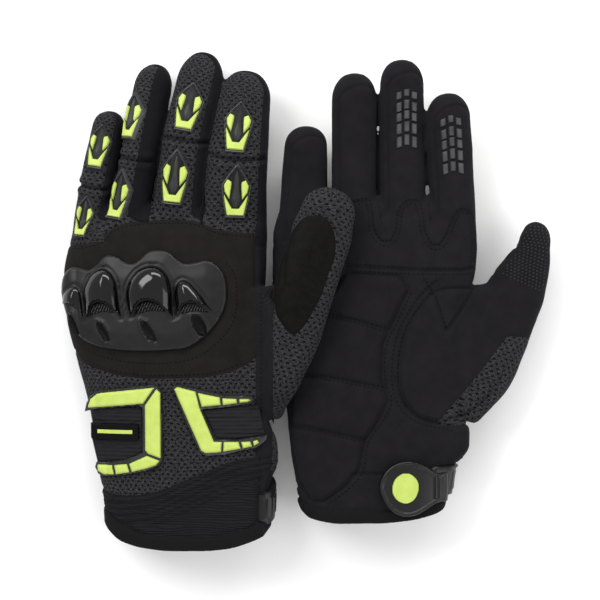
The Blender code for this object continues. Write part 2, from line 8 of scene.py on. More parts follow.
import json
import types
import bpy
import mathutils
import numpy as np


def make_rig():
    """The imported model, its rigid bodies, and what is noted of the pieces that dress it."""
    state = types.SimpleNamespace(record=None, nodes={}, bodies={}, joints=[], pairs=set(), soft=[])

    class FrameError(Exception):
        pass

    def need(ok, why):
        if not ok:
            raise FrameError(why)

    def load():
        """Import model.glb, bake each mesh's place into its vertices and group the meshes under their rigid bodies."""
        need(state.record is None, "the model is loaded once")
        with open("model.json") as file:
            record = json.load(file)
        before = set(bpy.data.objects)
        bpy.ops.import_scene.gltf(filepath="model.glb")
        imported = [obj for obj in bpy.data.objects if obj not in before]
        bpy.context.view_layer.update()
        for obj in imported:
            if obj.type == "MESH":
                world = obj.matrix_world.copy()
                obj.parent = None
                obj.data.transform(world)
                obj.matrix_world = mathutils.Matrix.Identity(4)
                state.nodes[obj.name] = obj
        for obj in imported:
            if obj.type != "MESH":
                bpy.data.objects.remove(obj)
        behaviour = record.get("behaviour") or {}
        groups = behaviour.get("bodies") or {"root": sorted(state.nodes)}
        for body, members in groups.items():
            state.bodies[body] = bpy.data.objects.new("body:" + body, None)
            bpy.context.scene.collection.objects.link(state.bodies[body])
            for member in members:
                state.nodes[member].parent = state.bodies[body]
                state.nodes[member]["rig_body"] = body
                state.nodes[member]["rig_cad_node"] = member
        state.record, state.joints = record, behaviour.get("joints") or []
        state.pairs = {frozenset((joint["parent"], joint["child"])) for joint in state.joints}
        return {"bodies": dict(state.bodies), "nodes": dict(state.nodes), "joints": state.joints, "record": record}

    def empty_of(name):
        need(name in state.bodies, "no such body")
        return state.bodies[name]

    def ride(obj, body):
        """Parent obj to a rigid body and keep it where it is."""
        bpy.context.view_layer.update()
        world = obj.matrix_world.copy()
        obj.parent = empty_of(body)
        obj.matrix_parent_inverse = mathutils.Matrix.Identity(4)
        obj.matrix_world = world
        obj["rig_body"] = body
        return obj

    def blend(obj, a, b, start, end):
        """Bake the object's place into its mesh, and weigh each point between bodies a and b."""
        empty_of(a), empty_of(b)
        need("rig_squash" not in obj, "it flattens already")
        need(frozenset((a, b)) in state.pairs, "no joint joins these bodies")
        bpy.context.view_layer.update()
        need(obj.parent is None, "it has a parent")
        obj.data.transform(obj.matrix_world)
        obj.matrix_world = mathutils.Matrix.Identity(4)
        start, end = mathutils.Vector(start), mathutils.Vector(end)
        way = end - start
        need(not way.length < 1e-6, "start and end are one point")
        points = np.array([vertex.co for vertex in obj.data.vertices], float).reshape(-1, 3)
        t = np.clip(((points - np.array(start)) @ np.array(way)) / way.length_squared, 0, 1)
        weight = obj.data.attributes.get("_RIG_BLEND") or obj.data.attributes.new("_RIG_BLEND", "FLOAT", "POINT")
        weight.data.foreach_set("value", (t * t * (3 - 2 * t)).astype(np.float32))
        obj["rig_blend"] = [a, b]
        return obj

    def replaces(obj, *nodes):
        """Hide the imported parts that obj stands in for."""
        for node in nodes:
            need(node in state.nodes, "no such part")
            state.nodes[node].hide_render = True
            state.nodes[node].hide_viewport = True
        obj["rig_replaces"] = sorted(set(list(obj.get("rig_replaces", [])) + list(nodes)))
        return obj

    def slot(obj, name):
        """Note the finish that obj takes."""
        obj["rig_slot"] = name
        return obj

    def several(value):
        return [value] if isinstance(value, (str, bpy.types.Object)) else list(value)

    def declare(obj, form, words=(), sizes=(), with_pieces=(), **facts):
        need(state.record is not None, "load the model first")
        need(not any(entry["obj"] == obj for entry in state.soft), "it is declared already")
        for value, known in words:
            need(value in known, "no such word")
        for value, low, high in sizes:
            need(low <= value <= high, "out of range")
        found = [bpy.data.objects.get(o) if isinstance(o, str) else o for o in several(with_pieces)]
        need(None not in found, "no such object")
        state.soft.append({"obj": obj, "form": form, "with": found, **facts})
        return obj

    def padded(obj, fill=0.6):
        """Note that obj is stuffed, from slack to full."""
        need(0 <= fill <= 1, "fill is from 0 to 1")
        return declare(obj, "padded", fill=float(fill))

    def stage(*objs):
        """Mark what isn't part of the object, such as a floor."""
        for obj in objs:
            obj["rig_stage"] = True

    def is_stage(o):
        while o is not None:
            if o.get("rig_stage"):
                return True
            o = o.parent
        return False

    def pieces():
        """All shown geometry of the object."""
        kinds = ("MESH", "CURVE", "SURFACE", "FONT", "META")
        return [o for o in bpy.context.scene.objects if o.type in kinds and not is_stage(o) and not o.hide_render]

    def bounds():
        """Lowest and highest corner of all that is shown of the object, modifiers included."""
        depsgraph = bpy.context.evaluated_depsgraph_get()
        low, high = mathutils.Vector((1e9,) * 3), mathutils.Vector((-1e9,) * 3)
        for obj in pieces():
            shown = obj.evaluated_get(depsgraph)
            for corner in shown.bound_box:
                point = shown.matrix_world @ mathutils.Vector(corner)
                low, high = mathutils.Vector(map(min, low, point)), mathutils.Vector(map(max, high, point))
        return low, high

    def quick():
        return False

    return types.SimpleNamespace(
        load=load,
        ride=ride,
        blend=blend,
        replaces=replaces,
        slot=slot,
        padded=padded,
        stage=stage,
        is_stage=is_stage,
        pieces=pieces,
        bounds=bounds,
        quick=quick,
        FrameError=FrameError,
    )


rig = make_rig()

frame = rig.load()

import json
import math
from collections import namedtuple

import bmesh
import bpy
import numpy as np
from mathutils import Matrix, Vector, noise
from mathutils.bvhtree import BVHTree

MM = 0.001
CLOSING_DEPTH = 2.0             # how far a finger's closed side sinks in at its middle
FLOOR_PRESS = 1.2               # below this height the gloves' undersides flatten
HOLE_STEP = 3.1                 # between the air mesh's holes along a row
HOLE_ROW = 1.9                  # between its staggered rows
CAD_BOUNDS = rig.bounds()
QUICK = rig.quick()
VOXEL = 1.1 if QUICK else 0.8
HAND_POWER = 2.6
DIGIT_POWER = 2.3
HAND_SIDES = 96
DIGIT_SIDES = 40
DIGIT_STEPS = 90
RING_STEP = 2.0

FINGERS = ("little", "ring", "middle", "index")


# ---------------------------------------------------------------- measures of the two gloves

class Glove(namedtuple("Glove", "side back level tilt tilt_x corner rows digits thumb web hem")):
    """One glove.  back is +1 when its back faces up.  corner, at the outer edge and the finger roots,
    is the zero of the glove's own x and y.  Rows are y, outer x, inner x, half depth.  Each digit's
    sections are x, y, height, half width, half depth, followed by its roll in degrees.
    """

    def mid(self, x):
        """Height of the hand's middle surface."""
        return self.level + self.tilt * (x - self.tilt_x)

    def sections(self, key):
        """A finger's sections with absolute heights, back heights counted outwards."""
        return [(x, y, self.mid(x) + self.back * height, wide, deep)
                for x, y, height, wide, deep in self.digits[key][0]]

    def row(self, y):
        """Outer x, inner x and half depth of the hand at y, as arrays."""
        known = np.array(self.rows[::-1], float)
        return [smooth_curve(known[:, 0], known[:, i], y) for i in (1, 2, 3)]


def smooth_curve(xs, ys, x):
    """Smooth curve through known points that never overshoots them, flat beyond the ends."""
    xs, ys = np.asarray(xs, float), np.asarray(ys, float)
    x = np.clip(np.asarray(x, float), xs[0], xs[-1])
    width = np.diff(xs)
    slope = np.diff(ys) / width
    tangent = np.zeros(len(xs))
    tangent[0], tangent[-1] = slope[0], slope[-1]
    turning = slope[:-1] * slope[1:] > 0
    mean = np.where(turning, 2 * slope[:-1] * slope[1:] / np.where(turning, slope[:-1] + slope[1:], 1), 0)
    tangent[1:-1] = mean
    i = np.clip(np.searchsorted(xs, x) - 1, 0, len(xs) - 2)
    t = (x - xs[i]) / width[i]
    a, b = ys[i], ys[i + 1]
    ma, mb = tangent[i] * width[i], tangent[i + 1] * width[i]
    return ((2 * t ** 3 - 3 * t ** 2 + 1) * a + (t ** 3 - 2 * t ** 2 + t) * ma
            + (3 * t ** 2 - 2 * t ** 3) * b + (t ** 3 - t ** 2) * mb)


def on_curve(points, x):
    """Smooth curve through a table of points."""
    xs, ys = np.array(points, float).T
    return smooth_curve(xs, ys, x)


LEFT = Glove(
    "left", 1, 18.1, 0.13, -68.4, (-119.4, 31.0),
    [(46, -100, -30, 3.0), (41, -111.5, -21, 7.5), (31, -115.9, -18.9, 12), (12, -119.4, -19.4, 13.5),
     (-8, -118.4, -21.9, 14), (-30, -112.9, -22.4, 14), (-52, -106.9, -21.4, 14),
     (-62, -105, -16.5, 13.6), (-72, -103.8, -13.8, 13), (-80, -102.6, -14.2, 13),
     (-90, -100.5, -17, 13), (-104, -98.6, -17.6, 12.8), (-124, -97, -19, 12.4)],
    {"little": (((-108.5, 14, -3.5, 8.2, 8.2), (-106.9, 33.8, -3.5, 8.6, 8.4),
                 (-101.9, 62, -2.5, 8.6, 8.2), (-97.9, 84.5, -6, 8.0, 7.4), (-96.1, 93.6, -7, 0, 0)), -18),
     "ring": (((-90.5, 14, -1.5, 9.4, 9.4), (-87.9, 35.2, -1.5, 9.5, 9.4),
               (-81.2, 72, 0.5, 9.0, 9.2), (-75.9, 102, -3.5, 9.4, 8.6), (-73, 116, -5, 0, 0)), -14),
     "middle": (((-64.5, 14, -1, 12.2, 10), (-63.2, 35.2, -1, 12.5, 10),
                 (-59.0, 72.5, 1.5, 11.8, 9.8), (-52.6, 104, -3, 11.7, 9.0), (-49.1, 121.5, -5, 0, 0)), -5),
     "index": (((-34.5, 14, -1.5, 14, 10.2), (-35.1, 34, -1.5, 15.9, 10.2),
                (-33.6, 66, 0.8, 15.0, 9.8), (-30.2, 96, -3.5, 12.8, 9.0), (-28.4, 112, -6, 0, 0)), 0)},
    [(-16.6, -56, 24, 5, 6.5), (-15.6, -50, 27.5, 6.6, 7.0), (-11.4, -37, 35, 9.5, 8.5),
     (-6.9, -20, 38, 12.6, 9.4), (0.1, 8, 41, 14.4, 9.5), (7.1, 30, 41.5, 14.8, 9.2),
     (10.1, 40, 41.5, 13.2, 8.6), (13.6, 53, 40, 0, 0)],
    ((-50, 0.85), (4, 0.85)),
    ((21, -139), (24, -144), (31, -149), (41, -151.5), (53, -152.5), (70, -152.3), (82, -151), (92, -148),
     (97.5, -145.5), (100.5, -141.5), (104, -138)))
RIGHT = Glove(
    "right", -1, 20.9, 0.07, 32.6, (-16.2, 31.0),
    [(50, -6, 74, 3.0), (43, -13.2, 81.5, 7.5), (31, -16.2, 83.1, 11.8), (12, -16.6, 82.1, 12.5),
     (-8, -13.9, 74.6, 12.5), (-30, -11.9, 74.6, 13), (-52, -9.9, 75.1, 13), (-59, -9.2, 76.5, 13),
     (-63, -8.8, 79.2, 12.6), (-71, -7.8, 79.2, 12.2), (-77, -7, 75.4, 12), (-83, -6.2, 70, 12),
     (-96, -3.8, 68.1, 12), (-110, -1.9, 64.6, 11.5)],
    {"little": (((-2.5, 14, 0, 11.2, 9), (-1.9, 33.2, 0, 11.7, 9),
                 (-0.9, 57, 1, 11.4, 8.8), (-0.1, 74, -3, 10.4, 7.8), (0.1, 84.5, -5, 0, 0)), 0),
     "ring": (((23.6, 14, 0, 11, 9.4), (23.6, 33.2, 0, 11.1, 9.4),
               (23.6, 70, 1.5, 11.1, 9), (23.4, 97, -3.5, 10.8, 8.2), (23.1, 110, -5.5, 0, 0)), 0),
     "middle": (((47.2, 14, 0, 11, 9.6), (47.2, 33.2, 0, 11.1, 9.6),
                 (47, 74, 1.5, 11.1, 9.2), (46.6, 103, -3.5, 10.8, 8.4), (46.6, 116.5, -5.5, 0, 0)), 0),
     "index": (((71.6, 14, 0, 11, 9.4), (71.6, 33.4, 0, 11.1, 9.4),
                (70.6, 62, 1.5, 11.1, 9), (68.9, 87, -3.5, 10.8, 8.2), (68.1, 100, -5.5, 0, 0)), 0)},
    [(78, -58, 20.5, 5, 7), (80.6, -54, 21, 6.5, 7.5), (87.8, -39, 19.5, 12.4, 9.8),
     (93.2, -22, 18, 14.3, 10.6), (101.2, 0, 17, 15.0, 10.4), (107.8, 15, 17.5, 11.9, 9.8),
     (111.8, 26, 18, 7.9, 8.3), (113.1, 38, 18, 0, 0)],
    ((-54, 0.85), (4, 0.85)),
    ((13, -130), (15, -134), (18.9, -137.2), (32.4, -139.2), (50, -139), (67.9, -137.2), (76, -135.2),
     (81.5, -133), (84.5, -129.5)))


# ---------------------------------------------------------------- digits as smooth tubes

class Digit:
    """A finger or thumb: a smooth path with its sideways and outward directions."""

    def __init__(self, glove, sections, roll):
        self.back = glove.back
        data = np.array(sections, float)
        steps = np.linalg.norm(np.diff(data[:, :3], axis=0), axis=1)
        knots = np.concatenate([[0], np.cumsum(steps)])
        self.length = knots[-1]
        self.straight = knots[-2]
        self.along = np.linspace(0, self.length, DIGIT_STEPS)
        self.centre = np.stack([smooth_curve(knots, data[:, i], self.along) for i in range(3)], 1)
        body = data[:-1]
        self.wide = smooth_curve(knots[:-1], body[:, 3], self.along)
        self.deep = smooth_curve(knots[:-1], body[:, 4], self.along)
        cap = np.clip((self.along - self.straight) / (self.length - self.straight), 0, 1)
        self.shrink = np.sqrt(np.maximum(1 - cap ** 2.2, 0))
        ahead = np.gradient(self.centre, axis=0)
        self.ahead = ahead / np.linalg.norm(ahead, axis=1, keepdims=True)
        side = np.cross(self.ahead, (0, 0, 1))
        side /= np.linalg.norm(side, axis=1, keepdims=True)
        up = np.cross(side, self.ahead)
        turn = math.radians(roll) * self.back
        self.side = side * math.cos(turn) + np.cross(self.ahead, side) * math.sin(turn)
        self.up = up * math.cos(turn) + np.cross(self.ahead, up) * math.sin(turn)

    def at(self, along, values):
        """A tabled value, or vector, at a distance along the digit."""
        along = np.asarray(along, float)
        if values.ndim == 1:
            return np.interp(along, self.along, values)
        return np.stack([np.interp(along, self.along, values[:, i]) for i in range(3)], -1)

    def loop(self, i, wide=1.0, deep=1.0):
        """The ring of points at tabled step i."""
        turn = np.linspace(0, 2 * math.pi, DIGIT_SIDES, endpoint=False)
        across, rise = superellipse(turn, DIGIT_POWER)
        across = across * max(self.wide[i] * self.shrink[i], 0.05) * wide
        rise = rise * max(self.deep[i] * self.shrink[i], 0.05) * deep
        return self.centre[i] + across[:, None] * self.side[i] + rise[:, None] * self.up[i]

    def at_y(self, y):
        """Distance along the digit at which it reaches y."""
        return float(np.interp(y, self.centre[:, 1], self.along))

    def coordinates(self, xyz):
        """Along, across and outward measures of points, and the digit's half sizes there."""
        along = np.interp(xyz[:, 1], self.centre[:, 1], self.along)
        for _ in range(3):
            offset = xyz - self.at(along, self.centre)
            along = np.clip(along + np.sum(offset * self.at(along, self.ahead), 1), 0, self.length)
        offset = xyz - self.at(along, self.centre)
        across = np.sum(offset * self.at(along, self.side), 1)
        outward = np.sum(offset * self.at(along, self.up), 1) * self.back
        return along, across, outward, self.at(along, self.wide), self.at(along, self.deep)


def superellipse(turn, power):
    """Unit superellipse at the angles turn."""
    cos, sin = np.cos(turn), np.sin(turn)
    return (np.sign(cos) * np.abs(cos) ** (2 / power), np.sign(sin) * np.abs(sin) ** (2 / power))


# ---------------------------------------------------------------- the skin as one surface

def loft(rings):
    """Vertices and faces of a closed tube through rings of equal count."""
    count = len(rings[0])
    verts = np.concatenate(rings)
    faces = []
    for row in range(len(rings) - 1):
        for i in range(count):
            j = (i + 1) % count
            faces.append((row * count + i, row * count + j, (row + 1) * count + j, (row + 1) * count + i))
    faces.append(tuple(range(count))[::-1])
    faces.append(tuple(range((len(rings) - 1) * count, len(rings) * count)))
    return verts, faces


def hand_rings(glove):
    """The rings of the hand and cuff."""
    turn = np.linspace(0, 2 * math.pi, HAND_SIDES, endpoint=False)
    across, rise = superellipse(turn, HAND_POWER)
    rings = []
    for y in np.arange(glove.rows[-1][0], glove.rows[0][0] + 0.1, RING_STEP):
        outer, inner, deep = (float(v) for v in glove.row(y))
        x = (outer + inner) / 2 + across * (inner - outer) / 2
        z = glove.mid(x) + rise * deep * glove.back
        rings.append(np.stack([x, np.full_like(x, y), z], 1))
    return rings


def hull(points):
    """The convex hull of some points, as vertices and faces."""
    work = bmesh.new()
    for point in points:
        work.verts.new(point)
    result = bmesh.ops.convex_hull(work, input=work.verts)
    spare = [v for v in result["geom_interior"] if isinstance(v, bmesh.types.BMVert)]
    bmesh.ops.delete(work, geom=spare, context="VERTS")
    work.verts.index_update()
    verts = np.array([v.co for v in work.verts])
    faces = [tuple(v.index for v in face.verts) for face in work.faces]
    work.free()
    return verts, faces


def web_slabs(glove, thumb):
    """Convex slabs that join the thumb to the inner edge of the hand."""
    slabs = []
    stops = np.linspace(glove.web[0][0], glove.web[1][0], 8)
    turn = np.linspace(0, 2 * math.pi, 20, endpoint=False)
    rings = []
    for step, y in enumerate(stops):
        i = int(np.argmin(np.abs(thumb.centre[:, 1] - y)))
        depth = 0.78 - 0.3 * step / (len(stops) - 1)
        outer, inner, deep = (float(v) for v in glove.row(y))
        edge_x = inner - deep * 0.75
        radius = deep * (0.72 - 0.22 * step / (len(stops) - 1))
        edge = np.stack([edge_x + np.cos(turn) * radius * 0.8, np.full_like(turn, y),
                         glove.mid(edge_x) + np.sin(turn) * radius], 1)
        rings.append((thumb.loop(i, 0.8, depth), edge))
    for (near, near_edge), (far, far_edge) in zip(rings, rings[1:]):
        slabs.append(hull(np.concatenate([near, near_edge, far, far_edge])))
    return slabs


def remeshed(parts, voxel):
    """One smooth closed surface around all the parts, as vertices and quads."""
    mesh = bpy.data.meshes.new("grown")
    verts, faces, shift = [], [], 0
    for part_verts, part_faces in parts:
        verts.append(part_verts)
        faces += [tuple(i + shift for i in face) for face in part_faces]
        shift += len(part_verts)
    mesh.from_pydata(np.concatenate(verts).tolist(), [], faces)
    work = bmesh.new()
    work.from_mesh(mesh)
    bmesh.ops.recalc_face_normals(work, faces=work.faces)
    work.to_mesh(mesh)
    work.free()
    obj = bpy.data.objects.new("grown", mesh)
    bpy.context.scene.collection.objects.link(obj)
    remesh = obj.modifiers.new("grown", "REMESH")
    remesh.mode = "VOXEL"
    remesh.voxel_size = voxel
    grown = obj.evaluated_get(bpy.context.evaluated_depsgraph_get()).to_mesh()
    xyz = np.zeros(len(grown.vertices) * 3)
    grown.vertices.foreach_get("co", xyz)
    corners = np.zeros(len(grown.loops), int)
    grown.loops.foreach_get("vertex_index", corners)
    quads = corners.reshape(-1, 4)
    bpy.data.objects.remove(obj)
    bpy.data.meshes.remove(mesh)
    return xyz.reshape(-1, 3), quads


def relaxed(xyz, tris, rounds, keep=None):
    """The points moved towards their neighbours' mean, some rounds.  keep holds points in place."""
    edges = np.unique(np.sort(np.concatenate([tris[:, [0, 1]], tris[:, [1, 2]], tris[:, [2, 0]]]), 1), axis=0)
    count = np.bincount(edges.ravel(), minlength=len(xyz)).astype(float)
    for _ in range(rounds):
        total = np.stack([np.bincount(edges[:, 0], xyz[edges[:, 1], i], len(xyz))
                          + np.bincount(edges[:, 1], xyz[edges[:, 0], i], len(xyz)) for i in range(3)], 1)
        mean = total / np.maximum(count, 1)[:, None]
        moved = xyz + (mean - xyz) * 0.6
        xyz = moved if keep is None else np.where(keep[:, None], xyz, moved)
    return xyz


def point_normals(xyz, tris):
    """Area-weighted normals at the points."""
    a, b, c = (xyz[tris[:, i]] for i in range(3))
    flat = np.cross(b - a, c - a)
    total = np.stack([sum(np.bincount(tris[:, k], flat[:, i], len(xyz)) for k in range(3))
                      for i in range(3)], 1)
    return total / np.maximum(np.linalg.norm(total, axis=1, keepdims=True), 1e-12)


class Patchwork:
    """Triangles with a table of values at their points, which can be cut along any value's zero."""

    def __init__(self, xyz, tris, **fields):
        self.tris = tris
        self.names = ["x", "y", "z"] + list(fields)
        self.table = np.column_stack([xyz] + list(fields.values()))

    def __getitem__(self, name):
        return self.table[:, self.names.index(name)]

    @property
    def xyz(self):
        return self.table[:, :3]

    @xyz.setter
    def xyz(self, value):
        self.table[:, :3] = value

    def add(self, name, values):
        """One more value at every point."""
        self.names.append(name)
        self.table = np.column_stack([self.table, values])

    def centre(self, name):
        """A value at the triangles' middles."""
        return self[name][self.tris].mean(1)

    def cut(self, name, snap=0.1):
        """Split the triangles where the named value changes sign."""
        column = self.names.index(name)
        value = self.table[:, column].copy()
        value[np.abs(value) < snap] = 0
        self.table[:, column] = value
        sign = np.sign(value)[self.tris]
        mixed = (sign.max(1) > 0) & (sign.min(1) < 0)
        if not mixed.any():
            return
        kept, tris, sign = self.tris[~mixed], self.tris[mixed], sign[mixed]
        touching = (sign == 0).any(1)
        lone = np.where(sign.sum(1) > 0, np.argmin(sign, 1), np.argmax(sign, 1))
        lone = np.where(touching, np.argmin(np.abs(sign), 1), lone)
        order = (lone[:, None] + np.arange(3)) % 3
        tris = np.take_along_axis(tris, order, 1)
        single, double = tris[touching], tris[~touching]
        pairs = np.concatenate([single[:, [1, 2]], double[:, [0, 1]], double[:, [0, 2]]])
        unique, where = np.unique(np.sort(pairs, 1), axis=0, return_inverse=True)
        where = where.ravel() + len(self.table)
        a, b = unique[:, 0], unique[:, 1]
        share = value[a] / (value[a] - value[b])
        added = self.table[a] * (1 - share)[:, None] + self.table[b] * share[:, None]
        added[:, column] = 0
        self.table = np.concatenate([self.table, added])
        one = where[:len(single)]
        near = where[len(single):len(single) + len(double)]
        far = where[len(single) + len(double):]
        self.tris = np.concatenate([
            kept,
            np.stack([single[:, 0], single[:, 1], one], 1), np.stack([single[:, 0], one, single[:, 2]], 1),
            np.stack([double[:, 0], near, far], 1), np.stack([near, double[:, 1], far], 1),
            np.stack([double[:, 1], double[:, 2], far], 1)])

    def taken(self, chosen):
        """The chosen triangles' own points (as an index) and their renumbered triangles."""
        tris = self.tris[chosen]
        used, inverse = np.unique(tris, return_inverse=True)
        return used, inverse.reshape(-1, 3)


def grid_faces(lines, columns):
    """The triangles of a grid of points."""
    index = np.arange(lines * columns).reshape(lines, columns)
    a, b = index[:-1, :-1].ravel(), index[:-1, 1:].ravel()
    c, d = index[1:, 1:].ravel(), index[1:, :-1].ravel()
    return np.concatenate([np.stack([a, b, c], 1), np.stack([a, c, d], 1)])


def walls(rim, shift):
    """The triangles between a rim's edges and the same edges some points later."""
    a, b = rim.T
    return np.concatenate([np.stack([b, a, a + shift], 1), np.stack([b, a + shift, b + shift], 1)])


def boundary(tris):
    """The directed edges that only one triangle has."""
    edges = np.concatenate([tris[:, [0, 1]], tris[:, [1, 2]], tris[:, [2, 0]]])
    keys = np.sort(edges, 1)
    _, inverse, counts = np.unique(keys, axis=0, return_inverse=True, return_counts=True)
    return edges[counts[inverse.ravel()] == 1]


def chains(edges):
    """Directed edges sorted into connected runs."""
    after = dict(edges)
    starts = [a for a, _ in edges if a not in set(after.values())]
    runs = []
    while after:
        start = starts.pop() if starts else next(iter(after))
        if start not in after:
            continue
        run, point = [start], start
        while point in after:
            point = after.pop(point)
            run.append(point)
        runs.append(run)
    return runs


def fan(xyz, run, inside):
    """A closing face over a run of points: triangles round its middle, which is drawn inwards."""
    ring = xyz[run[:-1] if run[0] == run[-1] else run]
    count = len(ring)
    middle = ring.mean(0)
    middle += (inside - middle) / np.linalg.norm(inside - middle) * CLOSING_DEPTH
    index = np.arange(count)
    tris = np.stack([np.roll(index, -1), index, np.full(count, count)], 1)
    return np.vstack([ring, middle]), tris


# ---------------------------------------------------------------- flat shapes

def path_distance(path, points):
    """Distance to an open path."""
    path = np.asarray(path, float)
    x, y = points[:, 0], points[:, 1]
    best = np.full(len(points), 1e9)
    for (ax, ay), (bx, by) in zip(path, path[1:]):
        dx, dy = bx - ax, by - ay
        share = np.clip(((x - ax) * dx + (y - ay) * dy) / max(dx * dx + dy * dy, 1e-12), 0, 1)
        best = np.minimum(best, np.hypot(x - ax - dx * share, y - ay - dy * share))
    return best


def ring_distance(outline, points):
    """Distance to a closed outline, positive inside it."""
    outline = np.asarray(outline, float)
    x, y = points[:, 0], points[:, 1]
    inside = np.zeros(len(points), bool)
    for (ax, ay), (bx, by) in zip(outline, np.roll(outline, -1, 0)):
        crosses = (ay > y) != (by > y)
        inside ^= crosses & (x < ax + (y - ay) * (bx - ax) / (by - ay if by != ay else 1e-12))
    best = path_distance(np.concatenate([outline, outline[:1]]), points)
    return np.where(inside, best, -best)


def rounded(path, closed=False, step=1.0):
    """Points every step along a smooth curve through the path's corners."""
    path = np.asarray(path, float)
    if closed:
        path = np.concatenate([path[-2:], path, path[:3]])
    else:
        path = np.concatenate([[2 * path[0] - path[1]], path, [2 * path[-1] - path[-2]]])
    out = []
    last = len(path) - 3 if closed else len(path) - 2
    first = 2 if closed else 1
    for i in range(first, last):
        p0, p1, p2, p3 = path[i - 1:i + 3]
        count = max(int(np.linalg.norm(p2 - p1) / step), 1)
        for t in np.arange(count) / count:
            out.append(0.5 * ((2 * p1) + (p2 - p0) * t + (2 * p0 - 5 * p1 + 4 * p2 - p3) * t * t
                              + (3 * p1 - p0 - 3 * p2 + p3) * t ** 3))
    if not closed:
        out.append(path[-2])
    return np.array(out)


def smooth_step(value, low, high):
    """0 below low, 1 above high, smooth between."""
    t = np.clip((value - low) / (high - low), 0, 1)
    return t * t * (3 - 2 * t)


# ---------------------------------------------------------------- materials

class Paint:
    """A procedural material being put together."""

    def __init__(self, name, colour, roughness, shine=0.5):
        self.material = bpy.data.materials.new(name)
        self.material.use_nodes = True
        self.nodes = self.material.node_tree.nodes
        self.links = self.material.node_tree.links
        self.shader = self.nodes["Principled BSDF"]
        self.shader.inputs["Base Color"].default_value = (*colour, 1)
        self.shader.inputs["Roughness"].default_value = roughness
        self.shader.inputs["Specular IOR Level"].default_value = shine
        self.place = self.nodes.new("ShaderNodeTexCoord").outputs["Object"]

    def node(self, kind, links=(), **settings):
        """A node with its settings, its inputs linked or valued by name or number."""
        made = self.nodes.new("ShaderNode" + kind)
        for key, value in settings.items():
            setattr(made, key, value)
        for key, value in links:
            if isinstance(value, bpy.types.NodeSocket):
                self.links.new(value, made.inputs[key])
            else:
                made.inputs[key].default_value = value
        return made

    def noise(self, scale, detail=3.0, rough=0.6, stretch=(1, 1, 1), place=None):
        """Noise at a scale in cycles per metre."""
        at = self.node("Mapping", [("Vector", place or self.place), ("Scale", stretch)])
        made = self.node("TexNoise", [("Vector", at.outputs[0]), ("Scale", scale), ("Detail", detail),
                                      ("Roughness", rough)])
        return made.outputs["Fac"]

    def math(self, what, a, b=0.0):
        """One sum of two values."""
        return self.node("Math", [(0, a), (1, b)], operation=what).outputs[0]

    def tint(self, factor, dark, light, low=0.3, high=0.7):
        """Base colour between two colours by a factor."""
        ramp = self.node("MapRange", [("Value", factor), ("From Min", low), ("From Max", high)])
        mix = self.node("Mix", [("Factor", ramp.outputs[0]), (6, (*dark, 1)), (7, (*light, 1))],
                        data_type="RGBA")
        self.links.new(mix.outputs[2], self.shader.inputs["Base Color"])

    def bump(self, height, distance, strength=1.0):
        """A bump of that height, added over any earlier one."""
        made = self.node("Bump", [("Height", height), ("Distance", distance), ("Strength", strength)])
        old = self.shader.inputs["Normal"].links
        if old:
            self.links.new(old[0].from_socket, made.inputs["Normal"])
        self.links.new(made.outputs[0], self.shader.inputs["Normal"])

    def sheen(self, weight, roughness=0.4, tint=(1, 1, 1)):
        """The soft bright edge of fibres."""
        self.shader.inputs["Sheen Weight"].default_value = weight
        self.shader.inputs["Sheen Roughness"].default_value = roughness
        self.shader.inputs["Sheen Tint"].default_value = (*tint, 1)


def suede(name, dark, light):
    """Short-napped synthetic suede."""
    paint = Paint(name, dark, 0.92, 0.1)
    fibre = paint.noise(2600, 4, 0.7)
    cloud = paint.noise(160, 3, 0.5)
    both = paint.math("ADD", paint.math("MULTIPLY", fibre, 0.7), paint.math("MULTIPLY", cloud, 0.35))
    paint.tint(both, dark, light, 0.38, 0.7)
    paint.bump(fibre, 0.0003, 0.5)
    paint.sheen(0.02, 0.5, (0.8, 0.78, 0.85))
    return paint.material


def leather(name, dark, light):
    """Fine-grained leather."""
    paint = Paint(name, dark, 0.62, 0.08)
    grain = paint.node("TexVoronoi", [("Vector", paint.place), ("Scale", 900.0)], feature="F1").outputs[0]
    paint.tint(paint.noise(300, 4, 0.6), dark, light, 0.35, 0.7)
    paint.bump(grain, 0.0002, 0.35)
    paint.sheen(0.02)
    return paint.material


def air_mesh(name, dark, light):
    """Spacer mesh: staggered rows of oval holes in a looped, fuzzy face; the holes are painted near black, partly the
    dark layer under the mesh and partly painted shade in the openings.
    """
    paint = Paint(name, light, 0.85, 0.12)
    weave = paint.node("Attribute", attribute_name="weave").outputs["Vector"]
    bend = paint.node("TexNoise", [("Vector", weave), ("Scale", 0.16), ("Detail", 1.0)]).outputs["Color"]
    shift = paint.node("VectorMath", [(0, bend), ("Scale", 2.4)], operation="SCALE").outputs[0]
    weave = paint.node("VectorMath", [(0, weave), (1, shift)], operation="ADD").outputs[0]
    waves = []
    for across, along in ((1, -0.5), (0, 1), (1, 0.5)):
        way = (2 * math.pi * across / HOLE_STEP, 2 * math.pi * along / HOLE_ROW, 0)
        phase = paint.node("VectorMath", [(0, weave), (1, way)], operation="DOT_PRODUCT").outputs["Value"]
        waves.append(paint.math("COSINE", phase))
    holes = paint.math("ADD", paint.math("ADD", waves[0], waves[1]), waves[2])
    ragged = paint.math("ADD", holes, paint.math("MULTIPLY", paint.noise(900, 2, 0.6), 1.4))
    thread = paint.node("MapRange", [("Value", ragged), ("From Min", 2.75), ("From Max", 1.75)]).outputs[0]
    loops = paint.noise(1500, 3, 0.75)
    grit = paint.node("MapRange", [("Value", loops), ("From Min", 0.42), ("From Max", 0.74)]).outputs[0]
    # the dark colour fills the holes: painted shade in the openings over the dark layer beneath
    paint.tint(paint.math("MULTIPLY", thread, paint.math("ADD", 0.12, grit)), dark, light, 0.0, 1.0)
    paint.bump(thread, 0.0009, 0.9)
    paint.bump(grit, 0.0004, 0.7)
    paint.sheen(0.02, 0.4)
    return paint.material


